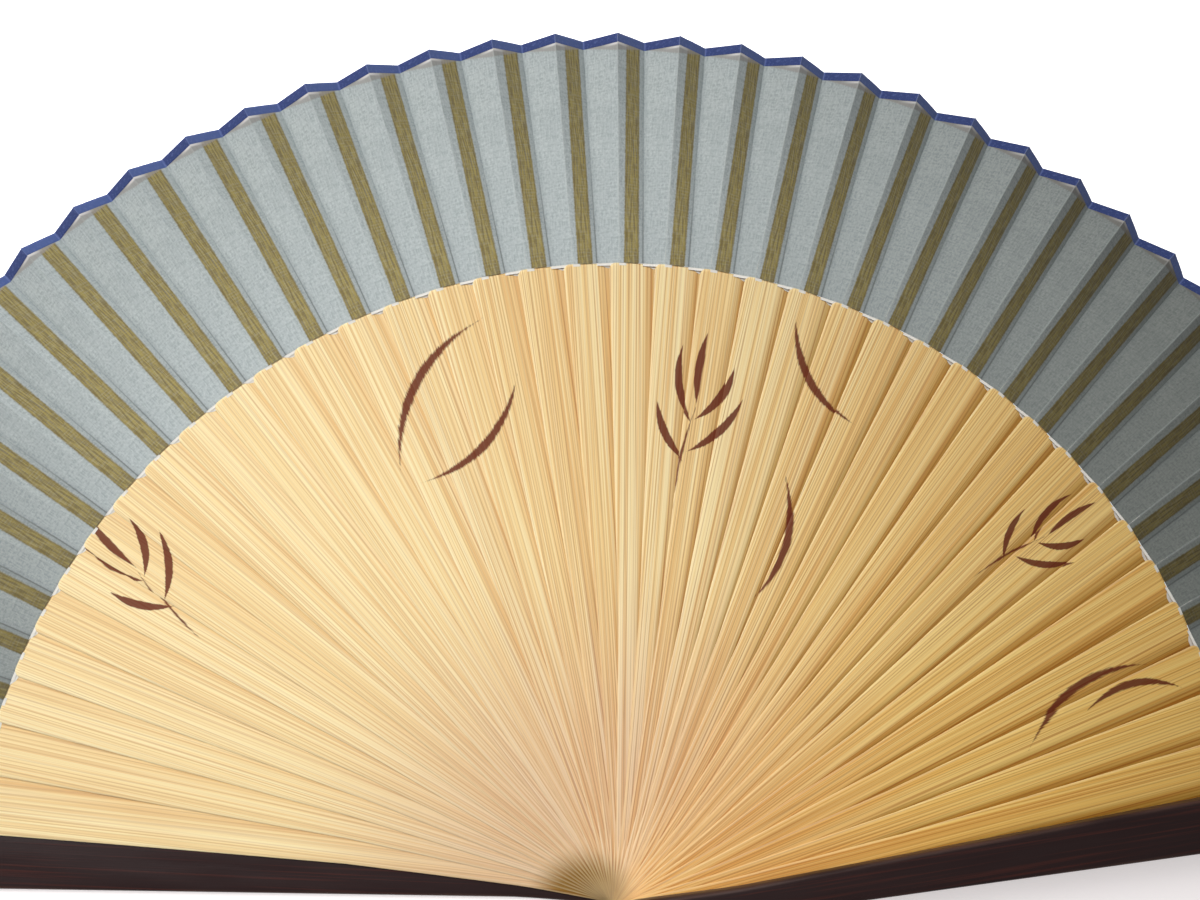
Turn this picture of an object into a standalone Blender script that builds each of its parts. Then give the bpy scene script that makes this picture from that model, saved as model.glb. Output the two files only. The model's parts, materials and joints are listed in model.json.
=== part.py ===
"""Folding fan: bamboo ribs between two lacquered guards, turning on one pin, with a pleated cloth leaf.

The fan lies open and flat on its left guard, whose underside is at Z = 0. The pin's axis is Z, and +Y points
through the middle of the open leaf. Sticks are counted clockwise as seen from above: stick 0 is the left
guard at the bottom of the pile, the last stick is the right guard on top, and each stick lies one level
above the one before it. All sizes are in millimetres until MM turns them into metres.
"""
import math

import bmesh
import bpy
from mathutils import Matrix, Vector

MM = 0.001

# Pile of sticks on the pin
STICK_COUNT = 40
LEFT_GUARD_ANGLE = 174.8
STICK_PITCH_ANGLE = 4.173
LEFT_WIDENING_ANGLES = (1.35, 0.81, 0.27)
RIGHT_WIDE_GAP_COUNT = 8
RIGHT_WIDENING_ANGLE = 0.3
RIGHT_GUARD_EXTRA_ANGLE = 0.9
RIB_THICKNESS = 0.42
STICK_CLEARANCE = 0.13
GUARD_THICKNESS = 3.0
GUARD_CLEARANCE = 0.75

# Ribs: a flat blade from the tail to the shoulder, then a thin tip under the cloth. A tuck is how much further
# the right edge runs on under the next rib.
RIB_TAIL = 9.0
RIB_EYE_WIDTH = 6.8
RIB_WAIST_WIDTH = 4.9
RIB_WAIST_AT = 26.0
RIB_FLARE_AT = 66.0
RIB_SHOULDER_WIDTH = 10.6
RIB_FLARE_TUCK = 0.5
RIB_SHOULDER_TUCK = 1.5
SHOULDER_RADIUS = 151.0
SHOULDER_CORNER = 1.7
TIP_INSET = 1.6
TIP_ROOT_WIDTH = 3.5
TIP_END_WIDTH = 3.2
TIP_THICKNESS = 0.16
TIP_EMBED = 4.0
TWIST_LENGTH = 9.0

# Guards
GUARD_TAIL = 9.6
GUARD_EYE_WIDTH = 8.2
GUARD_WAIST_WIDTH = 6.9
GUARD_WAIST_AT = 26.0
GUARD_SHOULDER_WIDTH = 13.6
GUARD_HEAD_WIDTH = 14.4
GUARD_OVERHANG = 2.0
GUARD_CORNER = 4.4
GUARD_EDGE_ROUND = 0.7

# Pin
PIN_DIAMETER = 2.5
PIN_CLEARANCE = 0.3
PIN_HEAD_DIAMETER = 5.0
PIN_HEAD_HEIGHT = 1.0
PIN_HEAD_EDGE = 0.25

# Pleated leaf
LEAF_GAP = 0.9
LEAF_RADIUS = 205.0
PLEAT_SLOPE_ANGLE = 40.0
MOUNTAIN_SHARE = 0.29
VALLEY_SHARE = 0.21
PLEAT_RAMP_COUNT = 10
TWIST_LIFT = 2.3
CLOTH_THICKNESS = 0.15
PASTE_GAP = 0.1
TAPE_WIDTH = 1.8
TAPE_OVERHANG = 0.25
TAPE_THICKNESS = 0.15
LINING_WIDTH = 3.6
LINING_SHOW = 0.6
LINING_THICKNESS = 0.1
GUARD_PASTE_INSET = 0.7

# Roundness of the modelled curves, in facets
HOLE_FACETS = 12
PIN_FACETS = 24
TAIL_FACETS = 8
CORNER_FACETS = 3
WAIST_STEPS = 4
TWIST_STEPS = 4

LAST = STICK_COUNT - 1
PLEAT_SLOPE = math.tan(math.radians(PLEAT_SLOPE_ANGLE))
TIP_RISE = TIP_THICKNESS / 2 / math.cos(math.radians(PLEAT_SLOPE_ANGLE))
TIP_REACH = LEAF_RADIUS - TIP_INSET
GUARD_REACH = LEAF_RADIUS + GUARD_OVERHANG
LEAF_INNER_RADIUS = SHOULDER_RADIUS + LEAF_GAP
TWIST_END_RADIUS = SHOULDER_RADIUS + TWIST_LENGTH
FIRST_RIB_BASE = GUARD_THICKNESS + GUARD_CLEARANCE
LEVEL_STEP = RIB_THICKNESS + STICK_CLEARANCE
RIB_COUNT = STICK_COUNT - 2
GUARD_RIGHT_BASE = FIRST_RIB_BASE + (RIB_COUNT - 1) * LEVEL_STEP + RIB_THICKNESS + GUARD_CLEARANCE
PILE_TOP = GUARD_RIGHT_BASE + GUARD_THICKNESS


def clear_scene():
    """Remove every object, so that the script can run again in an open file."""
    for obj in list(bpy.data.objects):
        bpy.data.objects.remove(obj, do_unlink=True)


def make_collection(name):
    """Make a collection under the scene."""
    collection = bpy.data.collections.new(name)
    bpy.context.scene.collection.children.link(collection)
    return collection


def make_material(name, color, roughness, metallic=0.0):
    """Make a Principled material from a colour, a roughness and a metallic value."""
    material = bpy.data.materials.new(name)
    material.use_nodes = True
    shader = material.node_tree.nodes["Principled BSDF"]
    shader.inputs["Base Color"].default_value = (*color, 1.0)
    shader.inputs["Roughness"].default_value = roughness
    shader.inputs["Metallic"].default_value = metallic
    material.diffuse_color = (*color, 1.0)
    return material


def smooth_step(value):
    """Ease from 0 to 1, flat at both ends."""
    value = min(max(value, 0.0), 1.0)
    return value * value * (3.0 - 2.0 * value)


# Where each stick lies

def gap_angle(gap):
    """Angle between stick number gap and the next one; the gaps open wider towards both guards."""
    angle = STICK_PITCH_ANGLE
    if gap < len(LEFT_WIDENING_ANGLES):
        angle += LEFT_WIDENING_ANGLES[gap]
    if gap >= LAST - RIGHT_WIDE_GAP_COUNT:
        angle += RIGHT_WIDENING_ANGLE
    return angle + RIGHT_GUARD_EXTRA_ANGLE if gap == LAST - 1 else angle


def stick_angle(stick):
    """Direction of a stick in degrees, counter-clockwise from +X."""
    return LEFT_GUARD_ANGLE - sum(gap_angle(gap) for gap in range(stick))


def rib_level(stick):
    """Height of the middle of a rib's thickness."""
    return FIRST_RIB_BASE + (stick - 1) * LEVEL_STEP + RIB_THICKNESS / 2


def fold_share(stick):
    """Share of the full pleat slope at a stick: the pleats flatten towards both guards."""
    return min(1.0, stick / PLEAT_RAMP_COUNT, (LAST - stick) / PLEAT_RAMP_COUNT)


# Flat outlines of the sticks

def arc(center_x, center_y, radius, start, end, steps):
    """Points along an arc, with angles in degrees."""
    points = []
    for step in range(steps + 1):
        angle = math.radians(start + (end - start) * step / steps)
        points.append((center_x + radius * math.cos(angle), center_y + radius * math.sin(angle)))
    return points


def stick_side(eye, stations, reach, corner):
    """Left side of a stick along +X: an eye that eases to the waist, straight stretches from one
    (distance, half width) station to the next, and the head's rounded corner."""
    waist_at, waist = stations[0]
    corner_y = stations[-1][1] - corner
    corner_x = math.sqrt((reach - corner) ** 2 - corner_y ** 2)
    tangent = math.degrees(math.atan2(corner_y, corner_x))
    points = []
    for step in range(WAIST_STEPS):
        share = step / WAIST_STEPS
        points.append((waist_at * share, eye / 2 + (waist - eye / 2) * smooth_step(share)))
    return points + stations[:-1] + arc(corner_x, corner_y, corner, 90, tangent, CORNER_FACETS)


def stick_outline(tail, eye, stations, reach, corner, tucks=(0.0, 0.0, 0.0)):
    """Closed outline of a stick along +X: a round tail, two sides through the (distance, width) stations,
    and a head cut to an arc about the pin. At each station the right side stands out by its tuck."""
    left = [(distance, width / 2) for distance, width in stations]
    right = [(distance, width / 2 + tuck) for (distance, width), tuck in zip(stations, tucks)]
    upper = stick_side(eye, left, reach, corner)
    lower = [(x, -y) for x, y in reversed(stick_side(eye, right, reach, corner))]
    tail_arc = arc(eye / 2 - tail, 0, eye / 2, 270, 90, TAIL_FACETS)
    return upper + [(reach, 0.0)] + lower + tail_arc


def add_spline(curve, points):
    """Add a closed straight-sided spline to a curve."""
    spline = curve.splines.new("POLY")
    spline.points.add(len(points) - 1)
    for point, (x, y) in zip(spline.points, points):
        point.co = (x * MM, y * MM, 0.0, 1.0)
    spline.use_cyclic_u = True


def plate_mesh(name, outlines, thickness, edge_round=0.0):
    """Fill flat outlines, give them a thickness and rounded edges, and return a welded mesh."""
    curve = bpy.data.curves.new(name, "CURVE")
    curve.dimensions = "2D"
    curve.fill_mode = "BOTH"
    curve.extrude = (thickness / 2 - edge_round) * MM
    curve.bevel_depth = edge_round * MM
    curve.bevel_resolution = 1
    curve.offset = -edge_round * MM
    for outline in outlines:
        add_spline(curve, outline)
    holder = bpy.data.objects.new(name, curve)
    bpy.context.scene.collection.objects.link(holder)
    graph = bpy.context.evaluated_depsgraph_get()
    mesh = bpy.data.meshes.new_from_object(holder.evaluated_get(graph))
    bpy.data.objects.remove(holder, do_unlink=True)
    bpy.data.curves.remove(curve)
    weld(mesh)
    return mesh


def weld(mesh):
    """Join doubled points and turn all faces outwards."""
    body = bmesh.new()
    body.from_mesh(mesh)
    bmesh.ops.remove_doubles(body, verts=body.verts, dist=0.01 * MM)
    bmesh.ops.recalc_face_normals(body, faces=body.faces)
    body.to_mesh(mesh)
    body.free()


def boolean_mesh(base, tool, operation):
    """Return the mesh of two meshes joined or cut by the exact solver."""
    holders = []
    for mesh in (base, tool):
        holder = bpy.data.objects.new(mesh.name, mesh)
        bpy.context.scene.collection.objects.link(holder)
        holders.append(holder)
    modifier = holders[0].modifiers.new("join", "BOOLEAN")
    modifier.operation = operation
    modifier.solver = "EXACT"
    modifier.object = holders[1]
    graph = bpy.context.evaluated_depsgraph_get()
    result = bpy.data.meshes.new_from_object(holders[0].evaluated_get(graph))
    for holder in holders:
        bpy.data.objects.remove(holder, do_unlink=True)
    return result


def ring(diameter, facets):
    """Outline of a round hole about the pin's axis, with the pin's clearance added all round."""
    return arc(0, 0, diameter / 2 + PIN_CLEARANCE, 0, 360 * (facets - 1) / facets, facets - 1)


# Ribs

def tip_slope(share, radius):
    """Cross slope of a rib's tip: level at the shoulder, then twisted to the slope of its pleat."""
    twist = (radius - SHOULDER_RADIUS) / TWIST_LENGTH
    return share * PLEAT_SLOPE * min(max(twist, 0.0), 1.0)


def tip_width(radius):
    """Width of a rib's tip as seen from above, tapering evenly from the shoulder to its end."""
    share = (radius - SHOULDER_RADIUS) / (TIP_REACH - SHOULDER_RADIUS)
    return TIP_ROOT_WIDTH + (TIP_END_WIDTH - TIP_ROOT_WIDTH) * min(max(share, 0.0), 1.0)


def tip_mesh(share):
    """Thin strip that runs on from the blade, tapered and twisted to lie against its pleat. Its top and its
    underside are cut into the same triangles, so that neighbouring tips nest when the fan is shut."""
    twist = [SHOULDER_RADIUS + TWIST_LENGTH * step / TWIST_STEPS for step in range(TWIST_STEPS + 1)]
    radii = [SHOULDER_RADIUS - TIP_EMBED] + twist + [TIP_REACH]
    last_row = len(radii) - 1
    body = bmesh.new()
    bmesh.ops.create_grid(body, x_segments=last_row, y_segments=1, size=0.5)
    for vert in body.verts:
        radius = radii[round((vert.co.x + 0.5) * last_row)]
        across = vert.co.y * tip_width(radius)
        vert.co = Vector((radius, across, across * tip_slope(share, radius) - TIP_RISE)) * MM
    bmesh.ops.triangulate(body, faces=body.faces, quad_method="FIXED")
    top = bmesh.ops.extrude_face_region(body, geom=body.faces[:])
    moved = [item for item in top["geom"] if isinstance(item, bmesh.types.BMVert)]
    bmesh.ops.translate(body, verts=moved, vec=(0.0, 0.0, 2 * TIP_RISE * MM))
    bmesh.ops.recalc_face_normals(body, faces=body.faces)
    mesh = bpy.data.meshes.new("tip")
    body.to_mesh(mesh)
    body.free()
    return mesh


def rib_mesh(share):
    """One rib: the flat blade with its pin hole, joined to the twisted tip."""
    stations = [
        (RIB_WAIST_AT, RIB_WAIST_WIDTH),
        (RIB_FLARE_AT, RIB_WAIST_WIDTH),
        (SHOULDER_RADIUS, RIB_SHOULDER_WIDTH),
    ]
    tucks = (0.0, RIB_FLARE_TUCK, RIB_SHOULDER_TUCK)
    outline = stick_outline(RIB_TAIL, RIB_EYE_WIDTH, stations, SHOULDER_RADIUS, SHOULDER_CORNER, tucks)
    blade = plate_mesh("blade", [outline, ring(PIN_DIAMETER, HOLE_FACETS)], RIB_THICKNESS)
    mesh = boolean_mesh(blade, tip_mesh(share), "UNION")
    mesh.name = "rib"
    return mesh


def add_stick(name, mesh, stick, level, material, collection, axis):
    """Place a stick on the pin's axis at its own level and direction."""
    obj = bpy.data.objects.new(name, mesh)
    collection.objects.link(obj)
    obj.parent = axis
    obj.location = (0.0, 0.0, level * MM)
    obj.rotation_euler = (0.0, 0.0, math.radians(stick_angle(stick)))
    if not mesh.materials:
        mesh.materials.append(material)
    return obj


def add_ribs(material, collection, axis):
    """Build every rib; ribs with the same pleat slope share one mesh."""
    meshes = {}
    for stick in range(1, LAST):
        share = round(fold_share(stick), 6)
        if share not in meshes:
            meshes[share] = rib_mesh(share)
        add_stick(f"rib_{stick:02d}", meshes[share], stick, rib_level(stick), material, collection, axis)


# Guards and pin

def guard_mesh():
    """One guard along +X: a thick stick with rounded edges, the pin's hole, and a recess under it for the
    pin's head."""
    stations = [
        (GUARD_WAIST_AT, GUARD_WAIST_WIDTH),
        (SHOULDER_RADIUS, GUARD_SHOULDER_WIDTH),
        (GUARD_REACH, GUARD_HEAD_WIDTH),
    ]
    outline = stick_outline(GUARD_TAIL, GUARD_EYE_WIDTH, stations, GUARD_REACH, GUARD_CORNER)
    plate = plate_mesh("plate", [outline], GUARD_THICKNESS, GUARD_EDGE_ROUND)
    drill = plate_mesh("drill", [ring(PIN_DIAMETER, HOLE_FACETS)], GUARD_THICKNESS * 2)
    recess = plate_mesh("recess", [ring(PIN_HEAD_DIAMETER, HOLE_FACETS)], 2 * (PIN_HEAD_HEIGHT + PIN_CLEARANCE))
    recess.transform(Matrix.Translation((0.0, 0.0, -GUARD_THICKNESS / 2 * MM)))
    mesh = boolean_mesh(plate, boolean_mesh(drill, recess, "UNION"), "DIFFERENCE")
    mesh.name = "guard"
    return mesh


def add_guards(material, collection, axis):
    """Build both guards; the right one is turned over, so that its recess faces up."""
    mesh = guard_mesh()
    half = GUARD_THICKNESS / 2
    add_stick("guard_left", mesh, 0, half, material, collection, axis)
    right = add_stick("guard_right", mesh, LAST, GUARD_RIGHT_BASE + half, material, collection, axis)
    right.rotation_euler.x = math.pi


def pin_profile():
    """Radius and height down the pin's side: a flat head flush with each guard, and the shaft between them."""
    rim = PIN_HEAD_DIAMETER / 2
    shaft = PIN_DIAMETER / 2
    upper = [
        (0.0, PILE_TOP), (rim - PIN_HEAD_EDGE, PILE_TOP), (rim, PILE_TOP - PIN_HEAD_EDGE),
        (rim, PILE_TOP - PIN_HEAD_HEIGHT), (shaft, PILE_TOP - PIN_HEAD_HEIGHT),
    ]
    lower = [(radius, PILE_TOP - height) for radius, height in reversed(upper)]
    return upper + lower


def add_pin(material, collection, axis):
    """Turn the pin: a shaft through the whole pile with a low head at each end."""
    profile = pin_profile()
    mesh = bpy.data.meshes.new("pivot_pin")
    verts = [(radius * MM, 0.0, height * MM) for radius, height in profile]
    edges = [(index, index + 1) for index in range(len(profile) - 1)]
    mesh.from_pydata(verts, edges, [])
    obj = bpy.data.objects.new("pivot_pin", mesh)
    collection.objects.link(obj)
    obj.parent = axis
    screw = obj.modifiers.new("turn", "SCREW")
    screw.steps = PIN_FACETS
    screw.render_steps = PIN_FACETS
    screw.use_merge_vertices = True
    screw.merge_threshold = 0.01 * MM
    screw.use_smooth_shade = False
    mesh.materials.append(material)


# Pleated leaf

def leaf_base(stick):
    """Height of the cloth's underside on a stick: over the left guard and the ribs, under the right guard."""
    if stick == 0:
        return GUARD_THICKNESS + PASTE_GAP + LINING_THICKNESS + PASTE_GAP
    if stick == LAST:
        tape = TAPE_THICKNESS + PASTE_GAP
        return GUARD_RIGHT_BASE - STICK_CLEARANCE - tape - CLOTH_THICKNESS
    return rib_level(stick) + TIP_RISE + PASTE_GAP + LINING_THICKNESS + PASTE_GAP


def leaf_columns():
    """Fold lines and pasted edges from left to right, each as (stick, kind)."""
    columns = [(0, "edge"), (0, "valley")]
    for stick in range(1, LAST):
        columns += [(stick, "mountain"), (stick, "valley")]
    return columns + [(LAST, "mountain"), (LAST, "edge")]


def column_angle(stick, kind, radius):
    """Clockwise angle, in radians, from a stick's middle line to one of its columns at a radius."""
    if kind == "mountain":
        return -MOUNTAIN_SHARE * math.radians(gap_angle(stick - 1))
    if kind == "valley":
        return VALLEY_SHARE * math.radians(gap_angle(stick))
    half = GUARD_HEAD_WIDTH / 2 - GUARD_PASTE_INSET
    return (half if stick == LAST else -half) / radius


def twist_lift(radius):
    """Extra height that carries the leaf's inner edge over the twist of the tips."""
    return TWIST_LIFT * max(0.0, (TWIST_END_RADIUS - radius) / (TWIST_END_RADIUS - LEAF_INNER_RADIUS))


def leaf_point(column, radius, lift):
    """Point of the leaf on a column at a radius, lifted above the cloth's underside."""
    stick, kind = column
    offset = column_angle(stick, kind, radius)
    share = fold_share(stick)
    angle = math.radians(stick_angle(stick)) - offset
    height = leaf_base(stick) + share * (twist_lift(radius) - offset * radius * PLEAT_SLOPE) + lift
    return Vector((radius * math.cos(angle), radius * math.sin(angle), height)) * MM


def pleated_band(name, radii, lift, thickness, material, collection, axis):
    """Closed pleated band with a row at each radius, lifted above the cloth's underside."""
    columns = leaf_columns()
    last_column = len(columns) - 1
    last_row = len(radii) - 1
    body = bmesh.new()
    bmesh.ops.create_grid(body, x_segments=last_column, y_segments=last_row, size=0.5)
    for vert in body.verts:
        column = columns[round((0.5 - vert.co.x) * last_column)]
        radius = radii[round((0.5 - vert.co.y) * last_row)]
        vert.co = leaf_point(column, radius, lift)
    top = bmesh.ops.extrude_face_region(body, geom=body.faces[:])
    moved = [item for item in top["geom"] if isinstance(item, bmesh.types.BMVert)]
    bmesh.ops.translate(body, verts=moved, vec=(0.0, 0.0, thickness * MM))
    bmesh.ops.recalc_face_normals(body, faces=body.faces)
    mesh = bpy.data.meshes.new(name)
    body.to_mesh(mesh)
    body.free()
    mesh.materials.append(material)
    obj = bpy.data.objects.new(name, mesh)
    collection.objects.link(obj)
    obj.parent = axis


def add_leaf(cloth, tape, paper, collection, axis):
    """Build the pleated cloth, the tape along its outer edge and the paper lining at its inner edge."""
    cloth_radii = [LEAF_INNER_RADIUS, TWIST_END_RADIUS, LEAF_RADIUS]
    pleated_band("leaf_cloth", cloth_radii, 0.0, CLOTH_THICKNESS, cloth, collection, axis)
    tape_radii = [LEAF_RADIUS - TAPE_WIDTH, LEAF_RADIUS + TAPE_OVERHANG]
    above = CLOTH_THICKNESS + PASTE_GAP
    pleated_band("edge_tape", tape_radii, above, TAPE_THICKNESS, tape, collection, axis)
    lining_radii = [LEAF_INNER_RADIUS - LINING_SHOW, LEAF_INNER_RADIUS + LINING_WIDTH]
    below = -PASTE_GAP - LINING_THICKNESS
    pleated_band("inner_lining", lining_radii, below, LINING_THICKNESS, paper, collection, axis)


def main():
    """Build the whole fan in one collection, around an empty on the pin's axis."""
    clear_scene()
    collection = make_collection("folding_fan")
    axis = bpy.data.objects.new("pin_axis", None)
    collection.objects.link(axis)
    bamboo = make_material("bamboo", (0.78, 0.56, 0.28), 0.45)
    lacquer = make_material("dark_lacquer", (0.022, 0.013, 0.013), 0.32)
    resin = make_material("pin_resin", (0.03, 0.02, 0.015), 0.35)
    cloth = make_material("leaf_cloth", (0.33, 0.40, 0.42), 0.85)
    tape = make_material("blue_tape", (0.045, 0.07, 0.26), 0.7)
    paper = make_material("lining_paper", (0.80, 0.78, 0.75), 0.8)
    add_guards(lacquer, collection, axis)
    add_ribs(bamboo, collection, axis)
    add_pin(resin, collection, axis)
    add_leaf(cloth, tape, paper, collection, axis)


main()
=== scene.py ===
"""Looks of a folding fan: bamboo ribs between two lacquered guards, turning on one pin, with a pleated cloth leaf.

The fan lies open on its left guard, whose underside is at Z = 0, with the pin's axis on Z. Sticks are counted
clockwise as seen from above, from the left guard (0) to the right guard. Every size is in millimetres until MM
turns it into metres. A point of a stick is written as (along, across, up): its distance from the pin along the
stick, its distance to the left of the stick's middle line, and its height over the middle of its thickness.
"""
import json
import logging
import math
from dataclasses import dataclass, field
from enum import Enum
from typing import Sequence

import bpy
import numpy as np
from mathutils import Euler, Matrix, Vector


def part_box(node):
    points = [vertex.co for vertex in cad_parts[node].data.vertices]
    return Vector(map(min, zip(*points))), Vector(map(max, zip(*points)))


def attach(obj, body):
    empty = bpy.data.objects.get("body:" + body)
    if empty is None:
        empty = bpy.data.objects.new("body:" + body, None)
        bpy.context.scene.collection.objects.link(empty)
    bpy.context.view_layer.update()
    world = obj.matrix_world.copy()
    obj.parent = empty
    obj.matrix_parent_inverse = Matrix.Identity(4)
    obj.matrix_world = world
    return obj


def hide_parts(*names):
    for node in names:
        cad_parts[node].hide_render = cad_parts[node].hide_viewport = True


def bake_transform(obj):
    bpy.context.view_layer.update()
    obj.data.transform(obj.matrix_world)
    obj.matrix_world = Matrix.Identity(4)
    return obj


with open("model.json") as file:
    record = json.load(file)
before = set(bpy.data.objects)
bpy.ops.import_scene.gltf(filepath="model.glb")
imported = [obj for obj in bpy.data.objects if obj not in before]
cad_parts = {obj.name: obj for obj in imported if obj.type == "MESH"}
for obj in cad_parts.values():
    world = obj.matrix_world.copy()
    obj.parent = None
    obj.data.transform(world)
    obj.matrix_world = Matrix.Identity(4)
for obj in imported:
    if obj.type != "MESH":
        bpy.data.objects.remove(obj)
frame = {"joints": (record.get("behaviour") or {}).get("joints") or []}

logging.basicConfig(level=logging.INFO, format="%(message)s")
log = logging.getLogger("folding_fan")

MM = 0.001

Array = np.ndarray
Number = Array | float
Pair = tuple[float, float]
Dye = tuple[float, ...]
Material = bpy.types.Material
Object = bpy.types.Object
Socket = bpy.types.NodeSocket
Feed = Socket | float | Dye


# Meshes from whole arrays

@dataclass
class Shell:
    """A mesh in the making.

    points are in millimetres, quads and triangles are rows of point numbers, chart is each point's place on the
    flat material in millimetres, and marks are named values held at each point.
    """

    points: Array
    quads: Array
    chart: Array
    triangles: Array = field(default_factory=lambda: np.zeros((0, 3), int))
    marks: dict[str, Array] = field(default_factory=dict)

    @staticmethod
    def joined(shells: Sequence["Shell"]) -> "Shell":
        """Put several shells into one.

        Args:
            shells: the shells, which all hold the same marks.

        Returns:
            One shell whose point numbers follow on from shell to shell.
        """
        starts = np.cumsum([0] + [len(shell.points) for shell in shells[:-1]])
        faces = [np.vstack([getattr(shell, kind) + start for shell, start in zip(shells, starts)])
                 for kind in ("quads", "triangles")]
        marks = {name: np.concatenate([shell.marks[name] for shell in shells]) for name in shells[0].marks}
        return Shell(np.vstack([shell.points for shell in shells]), faces[0],
                     np.vstack([shell.chart for shell in shells]), faces[1], marks)


def grid_quads(index: Array, closed: bool = False) -> Array:
    """Cut a grid of point numbers into quads that face up where rows run along +X and columns along +Y.

    Args:
        index: point numbers as rows and columns.
        closed: whether the last column joins the first.

    Returns:
        One row of four point numbers for each quad.
    """
    if closed:
        index = np.hstack([index, index[:, :1]])
    return np.stack([index[:-1, :-1], index[1:, :-1], index[1:, 1:], index[:-1, 1:]], axis=-1).reshape(-1, 4)


def wall_quads(top: Array, bottom: Array) -> Array:
    """Join two loops of point numbers by a wall that faces out where both run counter-clockwise."""
    return np.stack([bottom, np.roll(bottom, -1), np.roll(top, -1), top], axis=-1)


def rim_of(index: Array) -> Array:
    """Point numbers round the border of a grid, counter-clockwise as seen from above."""
    return np.concatenate([index[:-1, 0], index[-1, :-1], index[:0:-1, -1], index[0, :0:-1]])


def slab(top: Array, bottom: Array, chart: Array, marks: dict[str, Array]) -> Shell:
    """Close a sheet: its upper grid, its lower grid turned over, and a wall round the border.

    Args:
        top: upper points as rows, columns and coordinates.
        bottom: lower points, in step with the upper ones.
        chart: place on the flat material at each grid point.
        marks: named values at each grid point.

    Returns:
        The closed shell.
    """
    rows, columns = top.shape[:2]
    index = np.arange(rows * columns).reshape(rows, columns)
    under = index + rows * columns
    quads = [grid_quads(index), grid_quads(under)[:, ::-1], wall_quads(rim_of(index), rim_of(under))]
    twice = {name: np.tile(np.broadcast_to(value, (rows, columns)).ravel(), 2) for name, value in marks.items()}
    points = np.vstack([top.reshape(-1, 3), bottom.reshape(-1, 3)])
    return Shell(points, np.vstack(quads), np.tile(chart.reshape(-1, 2), (2, 1)), marks=twice)


def make_piece(name: str, shell: Shell, material: Material, crease: float = 38.0) -> Object:
    """Put a shell into a mesh object at the origin.

    Args:
        name: the object's name.
        shell: the shell, in the fan's own frame.
        material: the finish of the whole piece.
        crease: angle in degrees above which an edge stays sharp.

    Returns:
        The new object.
    """
    mesh = bpy.data.meshes.new(name)
    corners = np.concatenate([shell.quads.ravel(), shell.triangles.ravel()]).astype(np.int32)
    quad_starts = np.arange(len(shell.quads)) * 4
    starts = np.concatenate([quad_starts, shell.quads.size + np.arange(len(shell.triangles)) * 3])
    mesh.vertices.add(len(shell.points))
    mesh.vertices.foreach_set("co", (shell.points * MM).astype(np.float32).ravel())
    mesh.loops.add(len(corners))
    mesh.loops.foreach_set("vertex_index", corners)
    mesh.polygons.add(len(starts))
    mesh.polygons.foreach_set("loop_start", starts.astype(np.int32))
    mesh.update(calc_edges=True)
    chart = (shell.chart[corners] * MM).astype(np.float32)
    mesh.uv_layers.new(name="chart").data.foreach_set("uv", chart.ravel())
    for mark, values in shell.marks.items():
        mesh.attributes.new(mark, "FLOAT", "POINT").data.foreach_set("value", values.astype(np.float32))
    mesh.polygons.foreach_set("use_smooth", np.ones(len(starts), bool))
    mesh.set_sharp_from_angle(angle=math.radians(crease))
    mesh.materials.append(material)
    obj = bpy.data.objects.new(name, mesh)
    bpy.context.scene.collection.objects.link(obj)
    return obj


def smooth(value: Number) -> Array:
    """Ease from 0 to 1, flat at both ends: 3t² − 2t³ of the value held between 0 and 1."""
    held = np.clip(value, 0.0, 1.0)
    return held * held * (3.0 - 2.0 * held)


def blend_of(start: Number, end: Number, share: Number) -> Array:
    """Straight mix of two values: start at share 0, end at share 1, and beyond them past either."""
    return start + (end - start) * share


# Where the sticks lie

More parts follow.
